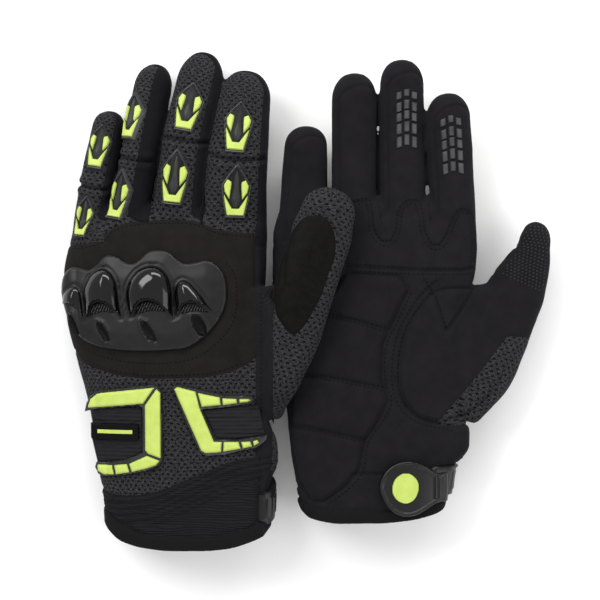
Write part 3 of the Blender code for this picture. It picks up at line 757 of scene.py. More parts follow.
def knit(name, dark, light, ribs=0.0):
    """Close knitted fabric, ribbed across when ribs says how strongly."""
    paint = Paint(name, dark, 0.85, 0.12)
    weave = paint.node("Attribute", attribute_name="weave").outputs["Vector"]
    if ribs:
        uneven = paint.math("MULTIPLY", paint.noise(140, 2, 0.5, (0.25, 1, 1)), 5.0)
        down = paint.node("SeparateXYZ", [(0, weave)]).outputs[1]
        phase = paint.math("MULTIPLY", paint.math("ADD", down, uneven), 2 * math.pi / 1.25)
        paint.bump(paint.math("COSINE", phase), 0.0003, ribs)
    cell = paint.node("TexVoronoi", [("Vector", weave), ("Scale", 1.6), ("Randomness", 0.15)],
                      feature="F1", voronoi_dimensions="2D").outputs["Distance"]
    paint.tint(cell, light, dark, 0.1, 0.6)
    paint.bump(cell, 0.0002, 0.6)
    return paint.material


def rubber(name, dark, light, roughness, shine):
    """Moulded rubber or plastic with a faint grain."""
    paint = Paint(name, dark, roughness, shine)
    paint.tint(paint.noise(220, 3, 0.5), dark, light, 0.35, 0.65)
    if roughness > 0.2:
        paint.bump(paint.noise(1800, 2, 0.5), 0.00005, 0.4)
    return paint.material


MATERIALS = {
    # air mesh: its first colour, nearly black, is the holes': the dark layer beneath with painted shade
    "air_mesh": air_mesh("air_mesh_look", (0.001, 0.001, 0.0012), (0.06, 0.058, 0.063)),
    "palm_suede": suede("palm_suede_look", (0.0055, 0.005, 0.0062), (0.0115, 0.0105, 0.0128)),
    "knuckle_suede": suede("knuckle_suede_look", (0.0066, 0.0055, 0.0052), (0.0125, 0.0104, 0.0098)),
    "pad_suede": suede("pad_suede_look", (0.0052, 0.0047, 0.006), (0.011, 0.0099, 0.0123)),
    "side_suede": suede("side_suede_look", (0.0034, 0.0032, 0.0042), (0.0068, 0.0064, 0.0082)),
    "patch": leather("thumb_patch_look", (0.0014, 0.0013, 0.001), (0.0036, 0.0034, 0.0027)),
    "elastic": knit("elastic_look", (0.0042, 0.0042, 0.005), (0.0135, 0.0132, 0.015), 0.8),
    "binding": knit("binding_look", (0.0026, 0.0026, 0.003), (0.0075, 0.0074, 0.0082)),
    "lining": knit("lining_look", (0.002, 0.002, 0.0022), (0.005, 0.005, 0.0056)),
    "thread": rubber("thread_look", (0.014, 0.0135, 0.0148), (0.024, 0.0234, 0.025), 0.7, 0.15),
    "guard": rubber("guard_look", (0.013, 0.013, 0.0142), (0.019, 0.019, 0.0205), 0.45, 0.35),
    "rim": rubber("rim_look", (0.030, 0.030, 0.0325), (0.042, 0.042, 0.045), 0.4, 0.4),
    "slat": rubber("slat_look", (0.16, 0.16, 0.165), (0.22, 0.22, 0.225), 0.4, 0.5),
    "recess": rubber("recess_look", (0.0022, 0.0022, 0.0026), (0.0034, 0.0034, 0.004), 0.5, 0.2),
    "plate": rubber("plate_look", (0.0062, 0.0061, 0.0068), (0.009, 0.0088, 0.0097), 0.4, 0.25),
    "dome": rubber("dome_look", (0.0008, 0.0008, 0.001), (0.0012, 0.0012, 0.0015), 0.09, 0.45),
    # black: the badge, hook patch and stitches, and also the painted shade in the knuckle guard's vents and scoops
    "black": rubber("black_look", (0.0012, 0.0012, 0.0014), (0.002, 0.002, 0.0023), 0.5, 0.1),
    "lime": rubber("lime_look", (0.41, 0.515, 0.095), (0.46, 0.565, 0.12), 0.5, 0.4),
    "tile": rubber("tile_look", (0.030, 0.030, 0.032), (0.052, 0.052, 0.055), 0.5, 0.35),
    "tab": rubber("tab_look", (0.0034, 0.0034, 0.004), (0.0052, 0.0052, 0.006), 0.38, 0.35),
}
SLOTS = {"air_mesh": "air_mesh", "elastic": "elastic", "lime": "lime_rubber"}
for slot, looks in (("suede", "palm_suede knuckle_suede pad_suede side_suede patch"),
                    ("binding", "binding lining thread"), ("knuckle_guard", "plate dome slat"),
                    ("guard_rubber", "guard rim recess black tile tab")):
    SLOTS.update(dict.fromkeys(looks.split(), slot))


def above_floor(xyz):
    """Points pressed together just above the floor, in their own order, instead of through it."""
    xyz = np.array(xyz, float)
    low = xyz[:, 2] < FLOOR_PRESS
    xyz[low, 2] = FLOOR_PRESS * np.exp((xyz[low, 2] - FLOOR_PRESS) / FLOOR_PRESS)
    return xyz


def add_piece(name, xyz, tris, look, normals=None, weave=None, sharp=None):
    """A shown mesh from points in millimetres."""
    xyz = above_floor(xyz)
    mesh = bpy.data.meshes.new(name)
    mesh.from_pydata((xyz * MM).tolist(), [], tris.tolist())
    mesh.materials.append(MATERIALS[look])
    mesh.shade_smooth()
    if weave is not None:
        layer = mesh.attributes.new("weave", "FLOAT_VECTOR", "POINT")
        layer.data.foreach_set("vector", np.ascontiguousarray(weave, np.float32).ravel())
    if sharp:
        mesh.set_sharp_from_angle(angle=math.radians(sharp))
    if normals is not None:
        mesh.normals_split_custom_set_from_vertices(normals.tolist())
    obj = bpy.data.objects.new(name, mesh)
    bpy.context.scene.collection.objects.link(obj)
    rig.slot(obj, SLOTS[look])
    return obj


# ---------------------------------------------------------------- seam lines
# In the glove's own x and y: x from the outer edge to the thumb, y from the finger roots.

KNUCKLE_TOP = ((-8, -5), (2.5, -4.5), (11.5, -4), (19, -2), (23.5, 2.5), (28.5, 5), (38, 7), (53, 7.5),
               (65, 7), (72, 4.5), (79.5, 2), (97.5, 0.5), (106, 0.5))
KNUCKLE_END = ((-8, -50), (5.5, -56.5), (9, -61.5), (19, -65.5), (28.5, -68), (43, -69.5), (67.5, -69),
               (79.5, -67), (89, -63.5), (97.5, -56.5), (106, -52))
BAND_TOP = ((8, -120.5), (11, -121.5), (18, -122), (22, -125), (28.5, -126.5), (38, -126), (48, -124),
            (57.5, -120), (67.5, -116), (79.5, -110.5), (88, -108), (97.5, -106.5), (110, -105))
BACK_HEM = ((10, -126), (16.5, -129.5), (21, -133.5), (26, -138), (33, -142), (43, -145), (60, -146),
            (77, -145), (89, -142), (97.5, -137.5), (101.5, -134), (108, -131))
PALM_HEM = ((6, -123), (10.5, -126), (13, -128.5), (19, -131.5), (32.5, -133), (49.5, -133), (68, -131),
            (81, -127.5), (86, -126), (92, -124))
THUMB_PATCH = ((-18, .52), (-16, .66), (-15, .75), (-12.5, .815), (-9.5, .85), (-3.5, .87), (1.8, .855),
               (6.5, .806), (9.5, .73), (9.1, .66), (8.7, .573), (6.7, .495), (3.5, .42), (0, .383),
               (-4.4, .40), (-9.9, .44), (-14.8, .495))
THUMB_STRIP = ((79.5, -90), (90.6, -77.6), (100.4, -66.4), (110.1, -53.3), (113.9, -48.9), (125, -50),
               (132, -60), (112, -91.5), (80, -92))
PAD_OUTLINE = ((35, -18.5), (60.5, -20), (65, -26.5), (58, -41), (52.5, -53.5), (52, -70.5), (55, -80),
               (50.5, -89.5), (44, -99.5), (41.5, -113), (35, -121), (25, -128.5), (19, -128.5),
               (13, -119), (9, -100), (9, -90), (9, -70), (13, -50), (24, -34))
PAD_QUILTS = (((20, -38), (27.5, -39), (39.5, -41.5), (55, -46)), ((8, -66), (32.5, -70), (53, -74)),
              ((6, -91.5), (27.5, -95.5), (45, -99.5)))
THENAR_OUTLINE = ((73.5, -32.5), (65.5, -43.5), (62, -55), (60.5, -69.5), (63, -80), (69, -87), (77, -90),
                  (85, -89), (100, -82), (116, -60), (120, -40), (110, -28), (95, -26), (80, -27))
CHANNEL = ((80, -22.5), (73.5, -28), (67.5, -36.5), (61.5, -48), (59, -60.5), (59.5, -76), (65.5, -86),
           (75, -90.5), (87, -93))
PALM_SEAM = ((35.5, -15.5), (52, -16.5), (71, -17.5), (90.5, -17.5), (98.5, -16))
FINGER_TABS = ((38.5, 15), (45.5, 16.5), (47.5, 9.5), (48, 2.5), (52, -3.5), (57.5, -3.5), (60.5, 3.5),
               (61.5, 11), (65, 15.5), (69.5, 15.5), (71.5, 10), (72.5, 1.5), (76, -5), (80.5, -5.5),
               (84.5, 0), (87.5, 8), (91, 11.5), (95, 10), (96.5, 0), (97, -13))
GUSSET = (((73, -22.5), (78, -31.5), (83, -46)), ((98.5, -25.5), (91.5, -35.5), (84, -46)))
LOWER_SEAM = ((37.5, -115.5), (51, -115.5), (61.5, -116))
BAND_RIB = 3.1                  # spacing of the cuff band's ribs
FINE_RIB = 1.9                  # spacing of the ribs on the cuff's panels and the strap's tab
SIDE_BAND = 95.0                # where the smooth band along the inner edge of the back begins
WEB_WIDTH = 9.0                 # of the strip of hand that stretches when the thumb lifts
SMALLEST_PANEL = 150            # triangles; a smaller one joins its group's largest panel

# Where the palm's double rows of stitches run: a path and the distances of its rows from it.
PALM_STITCHES = ((PALM_SEAM, (-1.5, 1.5)), (FINGER_TABS, (-1.2, 1.2)), (CHANNEL, (-1.4, 1.4)),
                 (PAD_OUTLINE[2:12], (2.2,)), (PAD_QUILTS[0], (-0.9, 0.9)), (PAD_QUILTS[1], (-0.9, 0.9)),
                 (PAD_QUILTS[2], (-0.9, 0.9)), (GUSSET[0], (1.0,)), (GUSSET[1], (-1.0,)))
BACK_STITCHES = ((((80.5, -13), (85, -19.5), (86, -31.5), (83.5, -43.5), (75, -53.5), (65.5, -59.5),
                   (51, -62), (34, -61.5), (19, -58.5), (9.5, -55)), (0.0,)),
                 (KNUCKLE_TOP[1:-1], (-1.8,)), (KNUCKLE_END[1:-2], (1.8,)), (((97, 4), (97, -100)), (0.8,)))
FINGER_SPLITS = {"left": {"little": 44.0, "ring": 51.0, "middle": 55.0, "index": 50.0},
                 "right": {"little": 44.0, "ring": 52.0, "middle": 54.0, "index": 49.0}}
# How far across each finger's back the mesh reaches, as a share of its half width.
WALLS = {"left": {"little": 0.72, "ring": 0.24, "middle": 0.62, "index": 0.74},
         "right": {"little": 0.74, "ring": 0.74, "middle": 0.74, "index": 0.74}}
FINGER_ROOT = 28.0              # y where the hand's own fabric ends and the fingers' begins
THUMB_SPLIT = {"left": 8.0, "right": -3.0}
THUMB_LINE = {"left": ((-60, -22), (-2, -22), (6, -17), (60, -13)),
              "right": ((-62, 73), (0, 73), (8, 85), (60, 92))}


def groove(distance, depth, width):
    """A seam's valley, by distance from it."""
    return -depth * np.exp(-(distance / width) ** 2)


# ---------------------------------------------------------------- one glove's skin

class Skin:
    """A glove's outer surface, its seam fields, and the places on it that other pieces lie on."""

    def __init__(self, glove):
        self.glove = glove
        self.digits = {key: Digit(glove, glove.sections(key), glove.digits[key][1]) for key in FINGERS}
        self.thumb = Digit(glove, glove.thumb, 0)
        self.hinge_y = self.joint_y("thumb_lift")
        xyz, tris = self.grow()
        self.smooth = BVHTree.FromPolygons(xyz.tolist(), tris.tolist())
        self.patchwork = Patchwork(xyz, tris)
        self.measure()
        self.cut_up()
        self.sculpt()
        self.final = BVHTree.FromPolygons(self.patchwork.xyz.tolist(), self.patchwork.tris.tolist())

    def joint_y(self, name):
        """The y of a joint's hinge."""
        for joint in frame["joints"]:
            if joint["name"] == f"{self.glove.side}_{name}":
                return joint["pos_m"][1] / MM
        raise KeyError(name)

    def grow(self):
        """The smooth surface around the hand, the digits and the thumb's web."""
        parts = [loft(hand_rings(self.glove))]
        for digit in (*self.digits.values(), self.thumb):
            parts.append(loft([digit.loop(i) for i in range(DIGIT_STEPS)]))
        parts += web_slabs(self.glove, self.thumb)
        xyz, quads = remeshed(parts, VOXEL)
        tris = np.concatenate([quads[:, [0, 1, 2]], quads[:, [0, 2, 3]]])
        return relaxed(xyz, tris, 7), tris

    def dividers(self, y):
        """The x between neighbouring fingers at y."""
        lines = []
        for near, far in zip(FINGERS, FINGERS[1:]):
            a, b = self.digits[near], self.digits[far]
            at_a = np.interp(y, a.centre[:, 1], a.along)
            at_b = np.interp(y, b.centre[:, 1], b.along)
            lines.append((a.at(at_a, a.centre)[..., 0] + a.at(at_a, a.wide) * 0.98
                          + b.at(at_b, b.centre)[..., 0] - b.at(at_b, b.wide) * 0.98) / 2)
        return lines

    def thumb_line(self, y):
        """The x of the line between hand and thumb at y."""
        return np.interp(y, *np.array(THUMB_LINE[self.glove.side], float).T)

    def lines(self, x, y):
        """The values at points whose zeros part the moving groups."""
        side = self.glove.side
        thumb_side = x - self.thumb_line(y)
        values = {"thumb_side": thumb_side, "web": thumb_side - WEB_WIDTH, "root": y - FINGER_ROOT,
                  "thumb_low": y - (self.hinge_y - 6), "thumb_high": y - THUMB_SPLIT[side]}
        for number, line in enumerate(self.dividers(y)):
            values[f"between{number}"] = np.where(y > FINGER_ROOT - 6, x - line, 5)
        for key in FINGERS:
            values["split_" + key] = y - FINGER_SPLITS[side][key]
        return values

    def measure(self):
        """The values at every point that seams and panels are read from."""
        work, glove = self.patchwork, self.glove
        xyz = work.xyz
        x, y, z = xyz.T
        lx, ly = x - glove.corner[0], y - glove.corner[1]
        height = (z - glove.mid(x)) * glove.back
        which = sum((x > line).astype(int) for line in self.dividers(y))
        is_thumb = x > self.thumb_line(y)
        back_finger, palm_finger, u, v = (np.zeros(len(x)) for _ in range(4))
        crease = np.full(len(x), 99.0)
        fold = np.zeros(len(x))
        for number, key in enumerate(FINGERS):
            digit = self.digits[key]
            mine = (which == number) & ~is_thumb & (ly > -22)
            along, across, outward, wide, deep = digit.coordinates(xyz[mine])
            share = across / wide * deep
            wall = np.maximum(across / wide - WALLS[glove.side][key], -0.5) * deep * 1.5
            wall -= 8 * (1 - smooth_step(ly[mine], 0, 8))
            back_finger[mine] = np.minimum(outward - (0.459 * deep + 0.264 * share), -wall)
            palm_finger[mine] = -outward - (0.515 * deep - 0.321 * share)
            end = np.maximum(along - digit.straight, 0)
            palm_finger[mine] -= end * 0.45
            fold[mine] = smooth_step(outward / deep, 0.2, 0.7)
            bend = digit.at_y(self.joint_y(key + "_bend"))
            crease[mine] = np.where(outward > 0, along - bend - 0.012 * across ** 2, 99)
            turn = np.arctan2(outward / deep, across / wide)
            u[mine] = -turn * np.sqrt(wide * deep)
            v[mine] = along + 0.35 * end
        weight = smooth_step(ly, 3, 11)
        back_hand = np.minimum(height + 0.5, SIDE_BAND - lx)
        work.add("lx", lx)
        work.add("ly", ly)
        work.add("height", height)
        work.add("back", np.where(is_thumb, -5, back_hand * (1 - weight) + back_finger * weight))
        work.add("palm_seam", np.where(is_thumb | (ly < -4), 99, palm_finger))
        work.add("crease", np.where(is_thumb | (ly < 6), 99, crease))
        work.add("fold", fold)
        knuckle = np.minimum(on_curve(KNUCKLE_TOP, lx) - ly, ly - on_curve(KNUCKLE_END, lx))
        work.add("knuckle", np.where(is_thumb, -20, knuckle))
        work.add("band", np.minimum(on_curve(BAND_TOP, lx) - ly, height + 3))
        share = smooth_step(height, -3, 3)
        work.add("hem", on_curve(BACK_HEM, lx) * share + on_curve(PALM_HEM, lx) * (1 - share) - ly)
        pad = np.minimum(ring_distance(PAD_OUTLINE, self.flat()), -height - 1)
        work.add("pad", np.where(is_thumb, -20, pad))
        work.add("below", on_curve(glove.hem, lx) - ly)
        for name, values in self.lines(x, y).items():
            work.add(name, values)
        self.measure_thumb(is_thumb, u, v)
        hand = (ly < 2) & ~is_thumb
        outer, inner, deep = glove.row(y)
        rim = np.where(x > (outer + inner) / 2, 1, -1)
        fold = np.abs(height) - deep
        u = np.where(hand, x - rim * np.where(height > 0, fold, -fold) * 0.9, u)
        v = np.where(hand, y, v)
        work.add("u", u)
        work.add("v", v)

    def measure_thumb(self, is_thumb, u, v):
        """The thumb's own panels: the patch, the mesh round it and the strip on its palm side."""
        work = self.patchwork
        along, across, outward, wide, deep = self.thumb.coordinates(work.xyz)
        share = along / self.thumb.length
        patch = np.array([(a, s * self.thumb.length) for a, s in THUMB_PATCH])
        patch = rounded(patch, closed=True, step=2.0)
        inside = ring_distance(patch, np.stack([across, along], 1))
        work.add("patch", np.where(is_thumb, np.minimum(inside, outward + 1), -20))
        strip = ring_distance(THUMB_STRIP, self.flat())
        if self.glove.side == "left":
            strip = np.full(len(strip), -20.0)
        back = np.minimum(outward + 0.25 * deep - 4 * smooth_step(share, 0.85, 1), work["web"] + 3)
        on_hand = np.minimum(strip, 3 - work["height"])
        on_thumb = np.maximum(back, np.where(outward < 0, strip, -20))
        work.add("thumb_mesh", np.where(is_thumb, on_thumb, on_hand))
        turn = np.arctan2(outward / deep, across / wide)
        u[is_thumb] = (-turn * np.sqrt(wide * deep))[is_thumb]
        before = np.minimum(work.xyz[:, 1] - self.thumb.centre[0, 1], 0)
        v[is_thumb] = (along + before)[is_thumb]

    def cut_up(self):
        """Cut the surface along every line where fabrics or moving pieces meet."""
        work = self.patchwork
        for name in ("below", "thumb_side", "web", "back", "knuckle", "band", "hem", "pad", "thumb_mesh",
                     "patch", "root", "between0", "between1", "between2", "thumb_low", "thumb_high",
                     "split_little", "split_ring", "split_middle", "split_index"):
            work.cut(name)
        keep = work.centre("below") < 0
        used, tris = work.taken(keep)
        work.table, work.tris = work.table[used], tris

    def flat(self):
        """The points' own x and y."""
        return np.stack([self.patchwork["lx"], self.patchwork["ly"]], 1)

    def sculpt(self):
        """Raise the panels, sink the seams and add the fabric's folds."""
        work = self.patchwork
        rise = np.zeros(len(work.table))
        flat = self.flat()
        height = work["height"]
        is_thumb = work["thumb_side"] > 0
        fingers = work["ly"] > -4
        palm = smooth_step(-height, 1, 5)
        above_band, above_hem = work["band"] < 0, work["hem"] < 0
        for name, depth, width, where in (
                ("back", 0.55, 0.9, ~is_thumb & above_band & above_hem),
                ("palm_seam", 0.8, 0.7, fingers & ~is_thumb), ("patch", 0.6, 0.9, is_thumb),
                ("thumb_mesh", 0.5, 0.9, True), ("hem", 0.6, 0.8, ~is_thumb),
                ("band", 0.5, 0.8, ~is_thumb & above_hem),
                ("knuckle", 0.5, 0.9, ~is_thumb & (work["back"] > -0.5))):
            rise += np.where(where, groove(work[name], depth, width), 0)
        crease = groove(work["crease"], 2.0, 0.75) - groove(np.abs(work["crease"]) - 2.6, 0.8, 1.7)
        rise += np.where(fingers & ~is_thumb, crease * work["fold"], 0)
        pad = ring_distance(PAD_OUTLINE, flat)
        rise += palm * smooth_step(pad, -0.6, 2.6) * 1.5
        for path in PAD_QUILTS:
            rise += palm * groove(path_distance(path, flat), 1.3, 1.4) * smooth_step(pad, -1, 2)
        thenar = ring_distance(rounded(THENAR_OUTLINE, True, 4.0), flat)
        rise += palm * smooth_step(thenar, -0.4, 2.2) * 0.9
        rise += palm * (groove(np.abs(thenar), 1.1, 0.8) + groove(np.abs(pad), 1.1, 0.8))
        for path, depth, width in ((PALM_SEAM, 1.1, 0.9), (FINGER_TABS, 0.9, 0.9), (LOWER_SEAM, 0.9, 0.8),
                                   (GUSSET[0], 1.1, 0.9), (GUSSET[1], 1.1, 0.9), (CHANNEL, 0.8, 1.7)):
            rise += palm * groove(path_distance(path, flat), depth, width)
        ribs = np.cos(2 * math.pi * (work["band"] + 0.03 * work["lx"]) / BAND_RIB)
        rise += np.where((work["band"] > 0) & above_hem, 0.42 * ribs - 0.1, 0)
        rise += 0.8 * smooth_step(work["hem"], 0, 1.2)
        rise += self.folds(work)
        normals = point_normals(work.xyz, work.tris)
        work.xyz = work.xyz + normals * rise[:, None]
        self.normals = point_normals(work.xyz, work.tris)

    def folds(self, work):
        """Soft unevenness of worn fabric, and pull lines at the web and the wrist."""
        folds = np.zeros(len(work.table))
        strong = 0.35 + 0.5 * smooth_step(-work["ly"], 70, 110) + 0.3 * (work["thumb_side"] > 0)
        for i, (x, y, z) in enumerate(work.xyz):
            broad = noise.noise((x * 0.045 + 3, y * 0.045, z * 0.05))
            small = noise.noise((x * 0.13, y * 0.11 + 7, z * 0.12))
            folds[i] = broad * 0.9 + small * 0.45
        return folds * strong

    # ------------------------------------------------------------ which piece a point belongs to

    def groups(self, get):
        """The moving group of each point, from a function that gives the named values."""
        on_thumb = get("thumb_side") > 0
        shape = on_thumb.shape
        group = np.full(shape, "hand", dtype=object)
        which = sum((get(f"between{i}") > 0).astype(int) for i in range(3))
        for number, key in enumerate(FINGERS):
            mine = ~on_thumb & (get("root") > 0) & (which == number)
            high = get("split_" + key) > 0
            group[mine & high] = key + "_tip"
            group[mine & ~high] = key + "_root"
        moving = on_thumb & (get("thumb_low") > 0)
        high = get("thumb_high") > 0
        group[moving & high] = "thumb_tip"
        group[moving & ~high] = "thumb_root"
        group[moving & ~high & (get("web") < 0)] = "thumb_web"
        return group

    def fabrics(self, get):
        """The fabric of each point."""
        fabric = np.full(get("back").shape, "palm_suede", dtype=object)
        fabric[(get("height") > -2) & (get("ly") > -6)] = "side_suede"
        fabric[get("back") > 0] = "air_mesh"
        fabric[(get("back") > 0) & (get("knuckle") > 0)] = "knuckle_suede"
        fabric[get("pad") > 0] = "pad_suede"
        fabric[(get("band") > 0) & (get("thumb_side") < 0)] = "elastic"
        fabric[(get("hem") > 0)] = "binding"
        on_thumb = get("thumb_side") > 0
        fabric[on_thumb] = "palm_suede"
        fabric[get("thumb_mesh") > 0] = "air_mesh"
        fabric[on_thumb & (get("patch") > 0)] = "patch"
        return fabric

    def panels(self):
        """Every fabric of every moving group as its own piece."""
        work = self.patchwork
        groups = self.groups(work.centre)
        fabrics = self.fabrics(work.centre)
        made = {}
        for group in sorted(set(groups)):
            mine = groups == group
            kinds, counts = np.unique(fabrics[mine], return_counts=True)
            for kind, count in zip(kinds, counts):
                if count < SMALLEST_PANEL:
                    fabrics[mine & (fabrics == kind)] = kinds[np.argmax(counts)]
            for fabric in sorted(set(fabrics[mine])):
                used, tris = work.taken(mine & (fabrics == fabric))
                weave = np.stack([work["u"][used], work["v"][used], np.zeros(len(used))], 1)
                name = f"{self.glove.side}_{group}_{fabric}"
                piece = add_piece(name, work.xyz[used], tris, fabric, self.normals[used], weave)
                self.attach(piece, group)
                made[group, fabric] = piece
        self.pieces = made
        self.close_sides(groups)

    def close_sides(self, groups):
        """Close each finger's side where it was cut free of the finger it touches."""
        work = self.patchwork
        for group in sorted(set(groups)):
            key = group.split("_")[0]
            if key not in FINGERS:
                continue
            mine = work.tris[groups == group]
            rim = boundary(mine)
            others = np.array([g.split("_")[0] in FINGERS and not g.startswith(key) for g in groups])
            touching = set(map(tuple, boundary(work.tris[others])[:, ::-1].tolist()))
            rim = [edge for edge in map(tuple, rim.tolist()) if edge in touching]
            inside = work.xyz[np.unique(mine)].mean(0)
            parts = [fan(work.xyz, chain, inside) for chain in chains(rim) if len(chain) > 6]
            if parts:
                piece = add_piece(f"{self.glove.side}_{group}_closing", *joined(parts), "side_suede")
                self.attach(piece, group)

    def attach(self, piece, group):
        """Make a piece follow the bodies of its group."""
        side = self.glove.side
        hand = side + "_hand"
        key, _, part = group.partition("_")
        if group == "hand":
            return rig.ride(piece, hand)
        digit = self.thumb if key == "thumb" else self.digits[key]
        lower, upper = f"{side}_{key}_lower", f"{side}_{key}_upper"
        if group == "thumb_web":
            y = (THUMB_SPLIT[side] - 12) * MM
            x = self.thumb_line(y / MM) * MM
            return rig.blend(piece, hand, lower, (x, y, 0), (x + WEB_WIDTH * MM, y, 0))
        if part == "root" and lower not in frame["bodies"]:
            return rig.ride(piece, hand)
        if part == "root":
            joint = "thumb_lift" if key == "thumb" else key + "_knuckle"
            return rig.blend(piece, hand, lower, *self.around_joint(digit, joint))
        below = lower if lower in frame["bodies"] else hand
        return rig.blend(piece, below, upper, *self.around_joint(digit, key + "_bend"))

    def lay(self, name, mesh, look, sharp, body="hand", node=None):
        """Add a stiff piece that rides on a body of this glove and may stand for a CAD node."""
        side = self.glove.side
        piece = add_piece(f"{side}_{name}", *mesh, look, sharp=sharp)
        if node:
            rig.replaces(piece, f"{side}_{node}")
        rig.ride(piece, f"{side}_{body}")

    def around_joint(self, digit, joint):
        """Points on a digit's centre line just before and just after a joint."""
        along = digit.at_y(self.joint_y(joint))
        return [tuple(digit.at(along + step, digit.centre) * MM) for step in (-6.0, 8.0)]


# ---------------------------------------------------------------- laying pieces on the skin

HAND_REACH = 22                 # how far outside the hand's middle surface rays start
DIGIT_REACH = 20                # and how far outside a digit's middle line


def hits(tree, starts, ways, reach, spare):
    """Where rays from starts first meet the tree, spare points where they miss, and which missed."""
    points = np.array(spare, float)
    missed = np.zeros(len(points), bool)
    for i, (start, way) in enumerate(zip(starts, ways)):
        hit = tree.ray_cast(Vector(start), Vector(way), reach)[0]
        missed[i] = hit is None
        if hit:
            points[i] = hit
    return points, missed


class HandPlace:
    """Maps the glove's own x and y to its back (face 1) or palm (face -1).

    A stiff moulding keeps its level near the hand's edges: from margin inside the edge it only
    droops a little.  missed tells which points found no skin.
    """

    def __init__(self, skin, face, tree=None, lift=0.0, margin=None, droop=0.06, squeeze=1.0):
        self.glove = skin.glove
        self.squeeze = squeeze
        self.face = face * skin.glove.back
        self.tree = tree or skin.smooth
        self.lift = lift
        self.margin = margin
        self.droop = droop

    def beyond(self, x, y):
        """How far points lie past the margin, negative on the outer side."""
        if self.margin is None:
            return np.zeros(len(x))
        outer, inner, _ = self.glove.row(y)
        return np.minimum(x - (outer + self.margin), 0) + np.maximum(x - (inner - self.margin), 0)

    def __call__(self, flat):
        corner_x, corner_y = self.glove.corner
        x, y = flat[:, 0] * self.squeeze + corner_x, flat[:, 1] + corner_y
        beyond = self.beyond(x, y)
        x = x - beyond
        out = np.tile((0.0, 0.0, self.face), (len(flat), 1))
        middle = np.stack([x, y, self.glove.mid(x)], 1)
        points, self.missed = hits(self.tree, middle + out * HAND_REACH, -out, HAND_REACH, middle)
        points[:, 0] += beyond
        points[:, 2] += self.face * (self.lift - self.droop * beyond ** 2)
        return points, out


class DigitPlace:
    """Maps across and along measures on a digit to its back (face 1) or palm (face -1)."""

    def __init__(self, skin, digit, face, middle=0.0, tree=None, lift=0.0, turn=0.0):
        self.tree = tree or skin.smooth
        self.turn = math.radians(turn)
        self.digit = digit
        self.face = face
        self.middle = middle
        self.lift = lift

    def __call__(self, flat):
        digit = self.digit
        along = flat[:, 1] + self.middle
        up, side = digit.at(along, digit.up), digit.at(along, digit.side)
        cos, sin = math.cos(self.turn), math.sin(self.turn)
        out = (up * cos - side * sin) * digit.back * self.face
        out /= np.linalg.norm(out, axis=1, keepdims=True)
        centre = digit.at(along, digit.centre) + (side * cos + up * sin) * flat[:, :1]
        points, self.missed = hits(self.tree, centre + out * DIGIT_REACH, -out, DIGIT_REACH + 4, centre)
        return points + out * self.lift, out


def bevel(distance, size):
    """A quarter-round rise from an edge, from 0 to 1."""
    t = np.clip(distance / size, 0, 1)
    return np.sqrt(1 - (1 - t) ** 2)


def relief(outline, place, height, pitch=0.6, sink=0.6):
    """A closed moulding on a surface: its points and triangles.

    The outline is in the surface's own two measures, and height gives the rise at each of its
    points from those measures and the distance to the edge.
    """
    outline = np.asarray(outline, float)
    low, high = outline.min(0) - pitch, outline.max(0) + pitch
    columns = max(int((high[0] - low[0]) / pitch) + 1, 3)
    lines = max(int((high[1] - low[1]) / pitch) + 1, 3)
    u, v = np.meshgrid(np.linspace(low[0], high[0], columns), np.linspace(low[1], high[1], lines))
    flat = np.stack([u.ravel(), v.ravel()], 1)
    level = np.column_stack([flat, np.zeros(len(flat))])
    work = Patchwork(level, grid_faces(lines, columns), edge=ring_distance(outline, flat))
    work.cut("edge", pitch * 0.12)
    used, tris = work.taken(work.centre("edge") > 0)
    flat = work.xyz[used][:, :2]
    edge = np.maximum(ring_distance(outline, flat), 0)
    base, out = place(flat)
    top = base + out * height(flat, edge)[:, None]
    bottom = base - out * sink
    count = len(flat)
    xyz = np.concatenate([top, bottom])
    tris = np.concatenate([tris, tris[:, ::-1] + count, walls(boundary(tris), count)])
    middle = len(tris) // 4
    a, b, c = xyz[tris[middle]]
    if np.dot(np.cross(b - a, c - a), out[tris[middle][0] % count]) < 0:
        tris = tris[:, ::-1]
    return xyz, tris


def joined(parts):
    """Several meshes as one."""
    xyz, tris, shift = [], [], 0
    for part_xyz, part_tris in parts:
        xyz.append(part_xyz)
        tris.append(np.asarray(part_tris) + shift)
        shift += len(part_xyz)
    return np.concatenate(xyz), np.concatenate(tris)


def flat_top(rise, edge_size):
    """Height of a moulding with a rounded edge."""
    return lambda flat, edge: rise * bevel(edge, edge_size)


# ---------------------------------------------------------------- finger guards

# In a guard's own measures: across and along from its middle, for a guard 15 wide and 26 long.
KITE = ((0, 13.2), (3.8, 8.4), (7.4, 3.2), (6.6, -3), (4.7, -12.9), (-4.7, -12.9), (-6.6, -3), (-7.4, 3.2),
        (-3.8, 8.4))
LIME_CUP = ((-5.9, -0.6), (-5.8, -3.0), (-4.2, -11.7), (4.2, -11.7), (5.8, -3.0), (5.9, -0.6), (5.1, -2.0),
            (1.6, -7.9), (-1.6, -7.9), (-5.1, -2.0))
LIME_EYE = ((4.6, 5.9), (6.2, 3.0), (5.6, -0.2), (3.0, -3.8), (2.7, -1.5), (2.2, 3.6), (2.4, 4.8))
SPEAR = ((0, 10.0), (1.0, 6.6), (1.3, 1.5), (2.3, -3.6), (1.3, -6.6), (0, -7.6), (-1.3, -6.6), (-2.3, -3.6),
         (-1.3, 1.5), (-1.0, 6.6))
GUARD_SIZE = (15.0, 26.0)
RIM_RISE = 1.7
RECESS_RISE = 0.9
SPEAR_RISE = 1.9
LIME_RISE = 2.1
